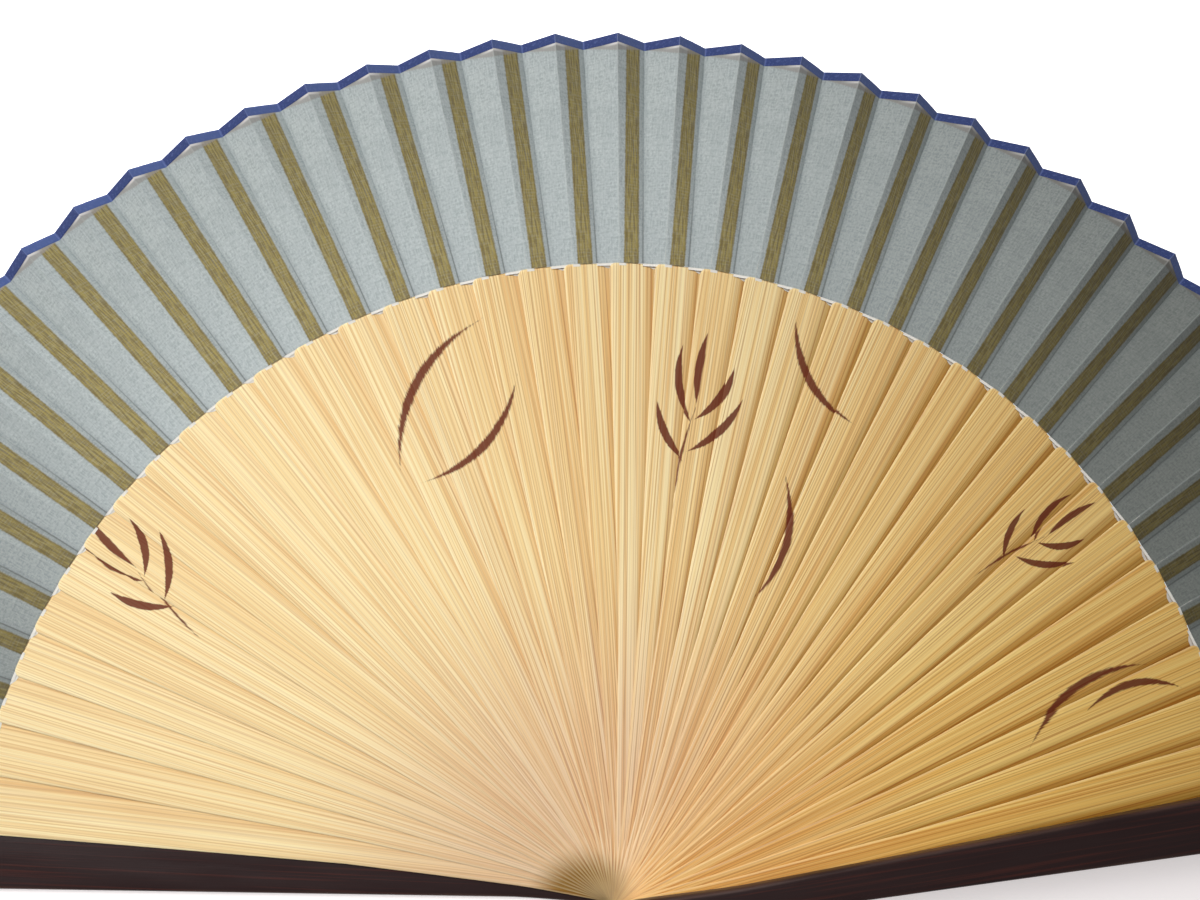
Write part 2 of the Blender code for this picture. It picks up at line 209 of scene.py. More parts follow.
@dataclass(frozen=True)
class FanPlan:
    """Direction, level and pleat slopes of every stick, read from the frame."""

    left_direction: float = math.radians(174.8)
    count: int = 40
    left_slope: float = math.tan(math.radians(1.6))
    right_slope: float = math.tan(math.radians(6.0))
    slope_ramp: Pair = (8.0, 28.0)
    pleat_slope: float = math.tan(math.radians(40.0))
    pleat_ramp: float = 10.0

    @property
    def last(self) -> int:
        """Number of the right guard."""
        return self.count - 1

    def is_guard(self, stick: int) -> bool:
        """Whether a stick is one of the two guards."""
        return stick in (0, self.last)

    def body(self, stick: int) -> str:
        """Name of the body that a stick belongs to."""
        return {0: "guard_left", self.last: "guard_right"}.get(stick, f"rib_{stick:02d}")

    def turn(self, stick: int) -> float:
        """Angle in radians through which a stick turns until the fan is shut."""
        turns = {joint["child"]: joint["range_deg"][1] for joint in frame["joints"]}
        return math.radians(turns.get(self.body(stick), 0.0))

    def direction(self, stick: int) -> float:
        """Direction of a stick in the open fan, in radians counter-clockwise from +X."""
        return self.left_direction - self.turn(stick)

    def gap(self, stick: int) -> float:
        """Angle in radians between a stick and the next one."""
        return self.turn(stick + 1) - self.turn(stick)

    def level(self, stick: int) -> float:
        """Height of the middle of a stick's thickness."""
        low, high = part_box(self.body(stick))
        return (low.z + high.z) / 2 / MM

    def shoulder_slope(self, stick: int) -> float:
        """Cross slope of a rib's blade at the shoulder: almost level at the left, steeper from the middle on."""
        if self.is_guard(stick):
            return 0.0
        start, end = self.slope_ramp
        return float(blend_of(self.left_slope, self.right_slope, smooth((stick - start) / (end - start))))

    def rim_slope(self, stick: int) -> float:
        """Cross slope of the pleat on a stick at the leaf's outer edge, flattening towards both guards."""
        return self.pleat_slope * min(1.0, stick / self.pleat_ramp, (self.last - stick) / self.pleat_ramp)

    def placed(self, stick: int, local: Array) -> Array:
        """Turn points of a stick into the fan's frame.

        Args:
            stick: number of the stick.
            local: points (along, across, up), with coordinates on the last axis.

        Returns:
            The points turned to the stick's direction and lifted to its level.
        """
        angle = self.direction(stick)
        cos, sin = math.cos(angle), math.sin(angle)
        along, across, up = local[..., 0], local[..., 1], local[..., 2]
        return np.stack([along * cos - across * sin, along * sin + across * cos, up + self.level(stick)], axis=-1)


# Nodes of the finishes

def dye(red: int, green: int, blue: int) -> Dye:
    """Linear colour of a display colour given as three numbers from 0 to 255."""
    shares = np.array([red, green, blue]) / 255.0
    linear = np.where(shares <= 0.04045, shares / 12.92, ((shares + 0.055) / 1.055) ** 2.4)
    return (*(float(value) for value in linear), 1.0)


class Finish:
    """A material in the making: each method adds nodes and returns what comes out of them."""

    def __init__(self, name: str) -> None:
        """Start a material with one Principled shader.

        Args:
            name: the material's name.
        """
        self.material = bpy.data.materials.new(name)
        self.material.use_nodes = True
        self.nodes = self.material.node_tree.nodes
        self.shader = self.nodes["Principled BSDF"]

    def feed(self, socket: Socket, value: Feed) -> None:
        """Set a socket to a number or a colour, or link it to another node's output.

        Args:
            socket: the socket to feed.
            value: a number, a tuple or an output socket.
        """
        if isinstance(value, bpy.types.NodeSocket):
            self.material.node_tree.links.new(value, socket)
        else:
            socket.default_value = value

    def add(self, kind: str, feeds: dict[int | str, Feed] | Sequence[Feed] = (), **settings: str) -> bpy.types.Node:
        """Add a node.

        Args:
            kind: the node's type without ShaderNode in front.
            feeds: what its inputs take, by number or name, or in order from the first.
            settings: the node's own settings.

        Returns:
            The new node.
        """
        node = self.nodes.new("ShaderNode" + kind)
        for name, value in settings.items():
            setattr(node, name, value)
        for key, value in feeds.items() if isinstance(feeds, dict) else enumerate(feeds):
            self.feed(node.inputs[key], value)
        return node

    def chart(self) -> Socket:
        """Place on the flat material, in metres."""
        return self.add("UVMap", uv_map="chart").outputs["UV"]

    def place(self) -> Socket:
        """Place in the fan's frame, in metres."""
        return self.add("TexCoord").outputs["Object"]

    def mark(self, name: str) -> Socket:
        """Value that the mesh holds at each point under a name."""
        return self.add("Attribute", attribute_name=name).outputs["Fac"]

    def parts(self, vector: Socket) -> list[Socket]:
        """The three numbers of a vector."""
        return list(self.add("SeparateXYZ", (vector,)).outputs)

    def math(self, operation: str, *values: Feed) -> Socket:
        """One step of arithmetic on one to three numbers."""
        return self.add("Math", values, operation=operation).outputs[0]

    def product(self, first: Feed, second: Feed) -> Socket:
        """Two numbers multiplied."""
        return self.math("MULTIPLY", first, second)

    def weighed(self, first: Feed, weight: Feed, second: Feed) -> Socket:
        """A number times a weight, plus a second number."""
        return self.math("MULTIPLY_ADD", first, weight, second)

    def between(self, value: Feed, low: float, high: float, start: float = 0.0, end: float = 1.0) -> Socket:
        """Ease smoothly from start at low to end at high.

        Args:
            value: the number that decides.
            low: where the ease begins.
            high: where it ends.
            start: result at or before low.
            end: result at or past high.

        Returns:
            The eased number.
        """
        return self.add("MapRange", (value, low, high, start, end), interpolation_type="SMOOTHSTEP").outputs[0]

    def noise(self, vector: Socket, scale: Sequence[float], detail: float = 2.0, roughness: float = 0.5,
              start: Pair = (0.0, 0.0), turn: float = 0.0, flat: bool = True) -> Socket:
        """Soft noise around one half.

        Args:
            vector: where the noise is read.
            scale: patches for each metre on every axis.
            detail: number of finer layers.
            roughness: strength of the finer layers.
            start: how far the noise is moved.
            turn: angle about Z in radians by which it is turned.
            flat: whether only the vector's first two numbers count.

        Returns:
            The noise from 0 to 1.
        """
        place = self.add("Mapping", (vector, (*start, 0.0), (0.0, 0.0, turn), (*scale, 1.0)[:3])).outputs[0]
        feeds = {"Vector": place, "Scale": 1.0, "Detail": detail, "Roughness": roughness}
        return self.add("TexNoise", feeds, noise_dimensions="2D" if flat else "3D").outputs[0]

    def mix(self, share: Feed, first: Feed, second: Feed, kind: str = "MIX") -> Socket:
        """Mix two colours.

        Args:
            share: how much of the second colour shows.
            first: first colour.
            second: second colour.
            kind: the Mix node's blend type.

        Returns:
            The mixed colour.
        """
        return self.add("Mix", {0: share, 6: first, 7: second}, data_type="RGBA", blend_type=kind).outputs[2]

    def tinted(self, color: Feed, *tints: tuple[Feed, float, float, float, Feed]) -> Socket:
        """Lay tints over a colour.

        Args:
            color: the colour underneath.
            tints: for each tint the number that decides, where the tint begins, where it is full, its full share
                and its colour.

        Returns:
            The tinted colour.
        """
        for value, low, high, share, tint in tints:
            color = self.mix(self.between(value, low, high, 0.0, share), color, tint)
        return color

    def relief(self, height: Socket, distance: float, strength: float = 0.5) -> None:
        """Roughen the surface by a height.

        Args:
            height: the height, from 0 to 1.
            distance: what a height of 1 stands for, in metres.
            strength: how much of the relief shows.
        """
        node = self.add("Bump", {"Strength": strength, "Distance": distance, "Height": height})
        self.feed(self.shader.inputs["Normal"], node.outputs[0])

    def surface(self, color: Feed, roughness: Feed, **uniform: Feed) -> Material:
        """Feed the shader and hand the material over.

        Args:
            color: base colour.
            roughness: roughness.
            uniform: other shader values that are the same all over, by socket name with _ for a space.

        Returns:
            The finished material.
        """
        self.feed(self.shader.inputs["Base Color"], color)
        self.feed(self.shader.inputs["Roughness"], roughness)
        for name, value in uniform.items():
            self.shader.inputs[name.replace("_", " ")].default_value = value
        return self.material


@dataclass(frozen=True)
class Stroke:
    """One brush stroke: a slender crescent from start, along heading, in metres and degrees."""

    start: Pair
    heading: float
    length: float
    width: float
    bend: float

    def mask(self, finish: Finish, place: Socket) -> Socket:
        """Height of the stroke over its own edge.

        In the stroke's own measure s runs from 0 to 1 along it and t across it. With q = s − s², the stroke's
        middle line is t = 4·bend·q, its half width is 4·width·q, and the mask is half width − |t − middle|.

        Args:
            finish: the material that the nodes go into.
            place: place in the fan's frame.

        Returns:
            A number above 0 inside the stroke.
        """
        turn = (0.0, 0.0, math.radians(self.heading))
        local = finish.add("Mapping", (place, (*self.start, 0.0), turn, (self.length,) * 3), vector_type="TEXTURE")
        along, across, _ = finish.parts(local.outputs[0])
        hump = finish.product(along, finish.math("SUBTRACT", 1.0, along))
        off = finish.math("ABSOLUTE", finish.math("SUBTRACT", across, finish.product(hump, 4 * self.bend)))
        return finish.math("SUBTRACT", finish.product(hump, 2 * self.width / self.length), off)


def leaf_sprig(root: Pair, heading: float, size: float) -> list[Stroke]:
    """Five brushed bamboo leaves on a thin stem.

    Args:
        root: where the stem starts, in metres.
        heading: direction of the stem in degrees.
        size: length of the stem in metres.

    Returns:
        The strokes of the sprig.
    """
    along = np.array([math.cos(math.radians(heading)), math.sin(math.radians(heading))])
    leaves = [(0.45, 38, 0.62, 0.10), (0.55, -34, 0.70, -0.10), (0.8, 20, 0.75, 0.12), (0.85, -24, 0.6, -0.12),
              (0.98, 4, 0.7, 0.05)]
    return [Stroke(root, heading, size, size * 0.035, 0.04)] + [
        Stroke(tuple(np.array(root) + along * size * share), heading + turn, size * length, size * 0.085, bend)
        for share, turn, length, bend in leaves]


@dataclass(frozen=True)
class BambooFinish:
    """Pale split bamboo: soft lengthwise streaks, fine fibres, a few brushed sprigs, and painted edge highlight,
    edge shade and pin shadow.
    """

    pale: Dye = dye(252, 233, 184)
    middle: Dye = dye(245, 214, 153)
    warm: Dye = dye(226, 178, 116)
    fibre: Dye = dye(188, 136, 92)
    warm_shade: Dye = dye(226, 188, 150)
    olive_shade: Dye = dye(180, 156, 96)
    left_edge_highlight: Dye = dye(255, 240, 196)
    ink: Dye = dye(106, 42, 32)
    rosy: Dye = dye(240, 228, 238)
    right_side_shade: Dye = dye(255, 234, 178)
    pin_shadow: Dye = dye(156, 132, 52)
    groove_pitch: float = 0.00062
    streak_scale: Pair = (6.0, 900.0)
    fibre_scale: Pair = (7.0, 3600.0)
    hair_scale: Pair = (5.0, 2100.0)
    sprigs: tuple[tuple[Pair, float, float], ...] = (
        ((-0.098, 0.062), 128, 0.024), ((0.012, 0.092), 76, 0.026), ((0.083, 0.074), 28, 0.022))
    grass: tuple[Stroke, ...] = (
        Stroke((-0.052, 0.101), 62, 0.042, 0.0026, 0.16), Stroke((-0.047, 0.099), 48, 0.034, 0.0023, -0.15),
        Stroke((0.056, 0.112), 118, 0.030, 0.0024, 0.15), Stroke((0.096, 0.034), 32, 0.036, 0.0025, 0.15),
        Stroke((0.030, 0.070), 74, 0.032, 0.0023, -0.15), Stroke((0.110, 0.042), 12, 0.026, 0.0022, 0.16))

    def painted(self, finish: Finish, chart: Socket) -> Socket:
        """How much ink lies on a place: the strokes joined, with a dry brush's broken edge.

        Args:
            finish: the material that the nodes go into.
            chart: place on the flat blade.

        Returns:
            A number from 0 to 1.
        """
        slip = finish.product(finish.math("SUBTRACT", finish.mark("tone"), 0.5), 0.0009)
        shift = finish.add("CombineXYZ", (slip, slip)).outputs[0]
        place = finish.add("VectorMath", (finish.place(), shift), operation="ADD").outputs[0]
        inside: Feed = -1.0
        for stroke in [stroke for sprig in self.sprigs for stroke in leaf_sprig(*sprig)] + list(self.grass):
            inside = finish.math("MAXIMUM", inside, stroke.mask(finish, place))
        rough = finish.math("SUBTRACT", finish.noise(chart, (300.0, 3000.0), 3.0, 0.6), 0.5)
        return finish.product(finish.between(finish.weighed(rough, 0.03, inside), -0.002, 0.014),
                              finish.mark("upper"))

    def grooves(self, finish: Finish, chart: Socket) -> Socket:
        """Fine lengthwise grooves: a sine across the blade whose phase wanders with a slow noise.

        Args:
            finish: the material that the nodes go into.
            chart: place on the flat blade.

        Returns:
            A number from 0 between two grooves to 1 in a groove.
        """
        _, across, _ = finish.parts(chart)
        wander = finish.noise(chart, (7.0, 420.0), 2.0, 0.6, (2.0, 6.0))
        phase = finish.weighed(across, 2 * math.pi / self.groove_pitch, finish.product(wander, 16.0))
        return finish.between(finish.math("SINE", phase), 0.1, 0.9)

    def build(self) -> Material:
        """Make the material, which reads the marks tone, left_edge, rightward, upper and along, and a mark for the
        rib's place from left to right.
        """
        finish = Finish("split_bamboo")
        chart, along, age = finish.chart(), finish.mark("along"), finish.mark("age")
        streaks = finish.noise(chart, self.streak_scale, 2.0, 0.55)
        fibres = finish.noise(chart, self.fibre_scale, 3.0, 0.6)
        hairs = finish.noise(chart, self.hair_scale, 1.0, 0.5, (3.1, 7.7))
        clouds = finish.noise(chart, (22.0, 60.0), 2.0, 0.5, (5.0, 1.0))
        depth = finish.weighed(finish.math("SUBTRACT", finish.mark("tone"), 0.5), 0.14, streaks)
        color = finish.tinted(
            self.pale, (depth, 0.32, 0.56, 1.0, self.middle), (depth, 0.54, 0.80, 0.7, self.warm),
            (hairs, 0.52, 0.70, 0.55, self.warm), (hairs, 0.46, 0.30, 0.55, self.pale),
            (fibres, 0.55, 0.70, 0.38, self.fibre), (fibres, 0.44, 0.32, 0.45, self.pale),
            (clouds, 0.55, 0.85, 0.18, self.warm))
        cut = finish.product(self.grooves(finish, chart), finish.between(hairs, 0.3, 0.6, 0.12, 0.5))
        # Painted light: ribs towards the left of the fan are paler.
        color = finish.tinted(finish.mix(cut, color, self.fibre), (age, 0.48, 0.25, 0.3, self.pale))
        right_half_share = finish.between(age, 0.35, 0.65)
        # Painted shade: each rib darkens towards its right edge, where the next rib overlaps it; warmer on the left
        # ribs, olive and stronger on the right ones.
        shade = finish.product(finish.between(finish.mark("rightward"), 0.30, 0.88),
                               finish.weighed(right_half_share, 0.52, 0.30))
        # Painted shadow: a dark olive patch near the pin, reaching furthest out on the left ribs.
        painted_light = finish.between(finish.weighed(age, 22.0, along), 24.0, 15.0, 0.0, 0.9)
        # Multiplied tints: rosy towards the pin, painted shadow near the pin, painted shade that makes the right of
        # the fan darker and more golden, and the painted right-edge shade.
        for share, tint in ((finish.between(along, 90.0, 25.0), self.rosy), (painted_light, self.pin_shadow),
                            (finish.between(age, 0.45, 1.0), self.right_side_shade),
                            (shade, finish.mix(right_half_share, self.warm_shade, self.olive_shade))):
            color = finish.mix(share, color, tint, "MULTIPLY")
        # Painted highlight: a thin lighter line along each rib's left edge.
        color = finish.tinted(color, (finish.mark("left_edge"), 0.55, 0.25, 0.22, self.left_edge_highlight))
        color = finish.mix(finish.product(self.painted(finish, chart), 0.93), color, self.ink)
        finish.relief(finish.weighed(fibres, 0.6, finish.product(streaks, 0.4)), 0.00008)
        return finish.surface(color, finish.between(fibres, 0.2, 0.8, 0.50, 0.64), Specular_IOR_Level=0.03)


@dataclass(frozen=True)
class LacquerFinish:
    """Dark brown lacquer over wood: fine reddish lengthwise streaks under a soft gloss, with a painted highlight
    along the edges.
    """

    ground: Dye = dye(43, 27, 27)
    streak: Dye = dye(66, 34, 30)
    pore: Dye = dye(24, 16, 18)
    edge_highlight: Dye = dye(92, 66, 56)

    def build(self) -> Material:
        """Make the material, which reads the mark edge."""
        finish = Finish("dark_lacquer_wood")
        chart = finish.chart()
        grain = finish.noise(chart, (16.0, 1500.0), 3.0, 0.6)
        pores = finish.noise(chart, (60.0, 6500.0))
        clouds = finish.noise(chart, (30.0, 200.0))
        color = finish.tinted(self.ground, (grain, 0.50, 0.72, 1.0, self.streak), (pores, 0.6, 0.8, 0.4, self.pore))
        # Painted highlight: the lacquer turns lighter near the edges, in patches.
        painted_light = finish.product(finish.between(finish.mark("edge"), 1.1, 0.2),
                              finish.between(clouds, 0.3, 0.7, 0.0, 0.6))
        finish.relief(finish.weighed(grain, 0.5, finish.product(pores, 0.5)), 0.00006)
        return finish.surface(finish.mix(painted_light, color, self.edge_highlight), finish.between(clouds, 0.2, 0.8, 0.30, 0.44),
                              Specular_IOR_Level=0.35, Coat_Weight=0.15, Coat_Roughness=0.25)


@dataclass(frozen=True)
class ClothFinish:
    """Fine plain-woven cloth: two sets of threads with slubs, the tips showing through, painted crease shade and
    crest highlights.
    """

    thread: float = 0.00026
    pale: Dye = dye(198, 205, 204)
    ground: Dye = dye(182, 190, 190)
    deep: Dye = dye(160, 169, 170)
    end_shade: Dye = dye(176, 174, 168)
    tip: Dye = dye(164, 146, 72)
    tip_deep: Dye = dye(120, 102, 46)
    hem: Dye = dye(160, 155, 150)
    hem_line: Dye = dye(226, 222, 220)
    tip_side_shade: Dye = dye(104, 110, 108)
    valley_shade: Dye = dye(96, 104, 108)
    valley_shade_line: Dye = dye(62, 62, 58)
    tip_edge: Pair = (1.96, 1.60)
    hem_start: float = 203.25
    hem_peak: float = 2.1

    def build(self) -> Material:
        """Make the material. The weave's height is the product of two sines, one along each set of threads.

        Returns:
            The finished material, which reads the marks offset, crest, valley, radius and peak, and a mark for the
            fold's place from left to right.
        """
        finish = Finish("woven_leaf_cloth")
        chart = finish.chart()
        offset, radius, peak, age, valley, crest = (
            finish.mark(name) for name in ("offset", "radius", "peak", "age", "valley", "crest"))
        waves = [finish.math("SINE", finish.product(part, 2 * math.pi / self.thread))
                 for part in finish.parts(chart)[:2]]
        slubs = finish.math("ADD", finish.noise(chart, (2600.0, 260.0), 2.0, 0.6),
                            finish.noise(chart, (260.0, 2600.0), 2.0, 0.6, (4.0, 9.0)))
        mottle = finish.noise(chart, (1900.0, 1500.0), 3.0, 0.6)
        clouds = finish.noise(chart, (90.0, 60.0))
        grainy = finish.noise(chart, (2400.0, 220.0), 3.0, 0.65, (1.0, 2.0))
        color = finish.tinted(self.deep, (slubs, 0.7, 1.2, 1.0, self.ground), (mottle, 0.35, 0.8, 1.0, self.pale),
                              (clouds, 0.4, 0.75, 0.25, self.deep))
        tip = finish.tinted(self.tip_deep, (grainy, 0.35, 0.65, 1.0, self.tip), (slubs, 0.9, 1.3, 0.16, self.ground))
        off = finish.math("ABSOLUTE", offset)
        ragged = finish.weighed(finish.math("SUBTRACT", mottle, 0.5), 0.35, off)
        rim = finish.product(finish.between(off, 1.2, 1.6), finish.between(off, 2.1, 1.75, 0.0, 0.35))
        # Painted shade: a soft darker band just right of each tip.
        tip_side_shade_share = finish.product(finish.between(offset, 1.5, 2.2), finish.between(offset, 4.6, 2.2, 0.0, 0.13))
        past = finish.math("SUBTRACT", radius, finish.weighed(peak, -self.hem_peak, self.hem_start))
        line = finish.product(finish.between(radius, 202.4, 202.9), finish.between(peak, 0.5, 0.95))
        for share, tint in ((finish.between(ragged, *self.tip_edge, 0.0, 0.9), tip), (rim, self.tip_deep),
                            (tip_side_shade_share, self.tip_side_shade), (finish.between(past, -0.1, 0.3, 0.0, 0.75), self.hem),
                            (line, self.hem_line)):
            color = finish.mix(share, color, tint)
        # Painted shade: the folds darken towards both ends of the fan, most towards the right.
        end_shade_share = finish.math("MAXIMUM", finish.between(age, 0.5, 0.88), finish.between(age, 0.26, 0.06, 0.0, 0.75))
        color = finish.mix(end_shade_share, color, self.end_shade, "MULTIPLY")
        # Painted shade: the cloth darkens towards each valley fold, with a sharp dark line along its inner part.
        color = finish.tinted(color, (valley, 1.6, 0.0, 0.22, self.valley_shade))
        sharp_valley_shade = finish.product(finish.between(valley, 0.26, 0.05), finish.between(radius, 180.0, 156.0, 0.06, 0.5))
        # Painted highlight: a paler line along each crest fold.
        color = finish.tinted(finish.mix(sharp_valley_shade, color, self.valley_shade_line), (crest, 0.24, 0.05, 0.25, self.pale))
        weave = finish.product(finish.product(*waves), 0.25)
        finish.relief(finish.weighed(slubs, 0.5, weave), 0.00006, 0.7)
        return finish.surface(color, 0.82, Sheen_Weight=0.12, Specular_IOR_Level=0.25)


@dataclass(frozen=True)
class TapeFinish:
    """Fine blue binding tape: a close weave, with painted shade on the side that rises to the crest and painted fold
    highlights.
    """

    deep: Dye = dye(52, 68, 124)
    light: Dye = dye(78, 98, 156)
    fade_and_highlight: Dye = dye(108, 124, 178)
    thread: float = 0.00022

    def build(self) -> Material:
        """Make the material, which reads the marks side, crest and valley."""
        finish = Finish("blue_binding_tape")
        chart = finish.chart()
        across, along, _ = finish.parts(chart)
        ribs = finish.math("SINE", finish.product(finish.math("ADD", across, along), 2 * math.pi / self.thread))
        mottle = finish.noise(chart, (1500.0, 1500.0), 3.0, 0.6)
        # Painted shade: the tape's rising side is darker than its falling side.
        color = finish.mix(finish.mark("side"), self.light, self.deep)
        # Painted highlight: paler lines along the crest and valley folds.
        painted_light = finish.math("MAXIMUM", finish.between(finish.mark("crest"), 0.28, 0.05, 0.0, 0.7),
                           finish.between(finish.mark("valley"), 0.42, 0.15, 0.0, 0.7))
        color = finish.mix(painted_light, finish.tinted(color, (mottle, 0.45, 0.75, 0.35, self.fade_and_highlight)), self.fade_and_highlight)
        finish.relief(finish.weighed(ribs, 0.3, mottle), 0.00005, 0.6)
        return finish.surface(color, 0.7, Sheen_Weight=0.15, Specular_IOR_Level=0.3)


@dataclass(frozen=True)
class PaperFinish:
    """Thin white lining paper with long fibres and a faint cream stain."""

    white: Dye = dye(238, 234, 226)
    cream: Dye = dye(216, 206, 190)

    def build(self) -> Material:
        """Make the material."""
        finish = Finish("lining_paper_fibres")
        chart = finish.chart()
        fibres = finish.noise(chart, (900.0, 2600.0), 4.0, 0.7, turn=0.5)
        stain = finish.noise(chart, (160.0, 120.0))
        finish.relief(fibres, 0.00005)
        color = finish.tinted(self.white, (stain, 0.4, 0.8, 1.0, self.cream), (fibres, 0.5, 0.8, 0.35, self.cream))
        return finish.surface(color, 0.88, Specular_IOR_Level=0.2)


@dataclass(frozen=True)
class ResinFinish:
    """Turned dark resin with fine rings about the pin's axis."""

    body: Dye = dye(52, 40, 34)
    ring: Dye = dye(84, 68, 56)
    ring_pitch: float = 0.00028

    def build(self) -> Material:
        """Make the material: rings are a sine of the distance from the pin's axis."""
        finish = Finish("turned_resin")
        place = finish.place()
        east, north, _ = finish.parts(place)
        away = finish.math("SQRT", finish.weighed(east, east, finish.product(north, north)))
        rings = finish.math("SINE", finish.product(away, 2 * math.pi / self.ring_pitch))
        clouds = finish.noise(place, (700.0,) * 3, flat=False)
        finish.relief(rings, 0.00002)
        color = finish.tinted(self.body, (clouds, 0.4, 0.7, 1.0, self.ring), (rings, 0.2, 1.0, 0.25, self.ring))
        return finish.surface(color, finish.between(clouds, 0.3, 0.7, 0.3, 0.42))


# Sticks

class Side(Enum):
    """Which face of a guard lies outwards and carries the pin head's recess."""

    NONE = 0
    UPPER = 1
    LOWER = -1


@dataclass(frozen=True)
class StickForm:
    """Outline, thickness and edge rounding of a stick's blade."""

    tail: float
    eye: float
    stations: tuple[Pair, ...]
    reach: float
    corner: float
    thickness: float
    edge_run: float
    upper_drop: float
    lower_drop: float
    head_run: float
    crown: float
    hole: float = 1.55
    hole_edge: float = 0.12
    recess: float = 2.8
    recess_depth: float = 1.3
    recess_edge: float = 0.08
    recess_lip: float = 0.15
    cut: float = 5.0
    side_steps: int = 13
    tail_steps: int = 24
    inner_columns: int = 7
    row_step: float = 4.0
    edge_shares: tuple[float, ...] = (0.0, 0.04, 0.13, 0.27, 0.46, 0.7, 1.0)
    head_shares: tuple[float, ...] = (1.9, 1.4, 1.0, 0.7, 0.45, 0.25, 0.12, 0.04, 0.0)

    @property
    def corner_centre(self) -> Pair:
        """Centre (along, across) of the head's left corner."""
        across = self.stations[-1][1] / 2 - self.corner
        return math.sqrt((self.reach - self.corner) ** 2 - across ** 2), across

    def half_width(self, along: Array) -> Array:
        """Half the stick's width at distances from the pin.

        The eye eases to the waist by 3t² − 2t³, and straight edges run from station to station; the last width
        is met where the head's corner begins.

        Args:
            along: distances from the pin.

        Returns:
            Half widths.
        """
        waist_at, waist = self.stations[0]
        eye = self.eye + (waist - self.eye) * smooth(along / waist_at)
        places = [place for place, _ in self.stations[:-1]] + [self.corner_centre[0]]
        blade = np.interp(along, places, [width for _, width in self.stations])
        return np.where(along < waist_at, eye, blade) / 2

    def head_line(self, across: Array) -> Array:
        """Distance along the stick at which the head ends: an arc about the pin, then the round corners."""
        centre_along, centre_across = self.corner_centre
        past = np.abs(across) - centre_across
        corner = centre_along + np.sqrt(np.maximum(self.corner ** 2 - np.maximum(past, 0) ** 2, 0))
        return np.where(past > 0, corner, np.sqrt(self.reach ** 2 - across ** 2))

    def edge_distance(self, along: Array, across: Array) -> Array:
        """Distance of places on the blade from its edges.

        Args:
            along: distances from the pin.
            across: distances to the left of the middle line.

        Returns:
            Distances from a long edge or the tail, and from the head, stacked on a new first axis.
        """
        tail_centre = self.eye / 2 - self.tail
        side = np.where(along < tail_centre, self.eye / 2 - np.hypot(along - tail_centre, across),
                        self.half_width(along) - np.abs(across))
        centre_along, centre_across = self.corner_centre
        in_corner = (along > centre_along) & (np.abs(across) > centre_across)
        corner = self.corner - np.hypot(along - centre_along, np.abs(across) - centre_across)
        head = self.reach - np.hypot(along, across)
        return np.stack([np.where(in_corner, corner, side), np.where(in_corner, corner, head)])

    def face_height(self, along: Array, across: Array, upper: bool) -> Array:
        """Height of a face over the middle of the thickness.

        Each edge falls off as a quarter ellipse: drop·(1 − √(1 − (1 − d/run)²)) within run of the edge; the upper
        face also falls evenly by crown·(across/half width)².

        Args:
            along: distances from the pin.
            across: distances to the left of the middle line.
            upper: whether the face is the upper one.

        Returns:
            Heights, positive for the upper face.
        """
        side, head = self.edge_distance(along, across)
        drop = self.upper_drop if upper else self.lower_drop
        run = self.edge_run if upper else min(self.edge_run, 3 * self.lower_drop + 0.05)
        near = np.maximum(1 - np.clip(side / run, 0, 1), 1 - np.clip(head / min(run, self.head_run), 0, 1))
        fall = drop * (1 - np.sqrt(np.maximum(1 - near ** 2, 0)))
        dome = self.crown * (across / self.half_width(along)) ** 2 if upper else 0.0
        height = self.thickness / 2 - fall - dome
        return height if upper else -height

    def columns(self, half: Number) -> Array:
        """Places across the blade, from the right edge to the left: close together near both edges."""
        half = np.asarray(half, float)[..., None]
        steps = np.array(self.edge_shares) * self.edge_run
        inner = np.linspace(-1, 1, self.inner_columns + 2)[1:-1]
        return np.concatenate([-half + steps, inner * (half - steps[-1]), (half - steps)[..., ::-1]], axis=-1)

    def eye_outline(self) -> Array:
        """Counter-clockwise outline of the eye: up the cut line, back along the left side, round the tail."""
        cut_across = self.columns(self.half_width(np.array(self.cut)))
        centre = self.eye / 2 - self.tail
        back = np.linspace(self.cut, centre, self.side_steps + 1)[1:]
        left = np.stack([back, self.half_width(back)], axis=-1)
        angles = np.linspace(math.pi / 2, 3 * math.pi / 2, self.tail_steps + 1)[1:-1]
        tail = np.stack([centre + self.eye / 2 * np.cos(angles), self.eye / 2 * np.sin(angles)], axis=-1)
        cut = np.stack([np.full_like(cut_across, self.cut), cut_across], axis=-1)
        return np.vstack([cut, left, tail, left[::-1] * (1, -1)])

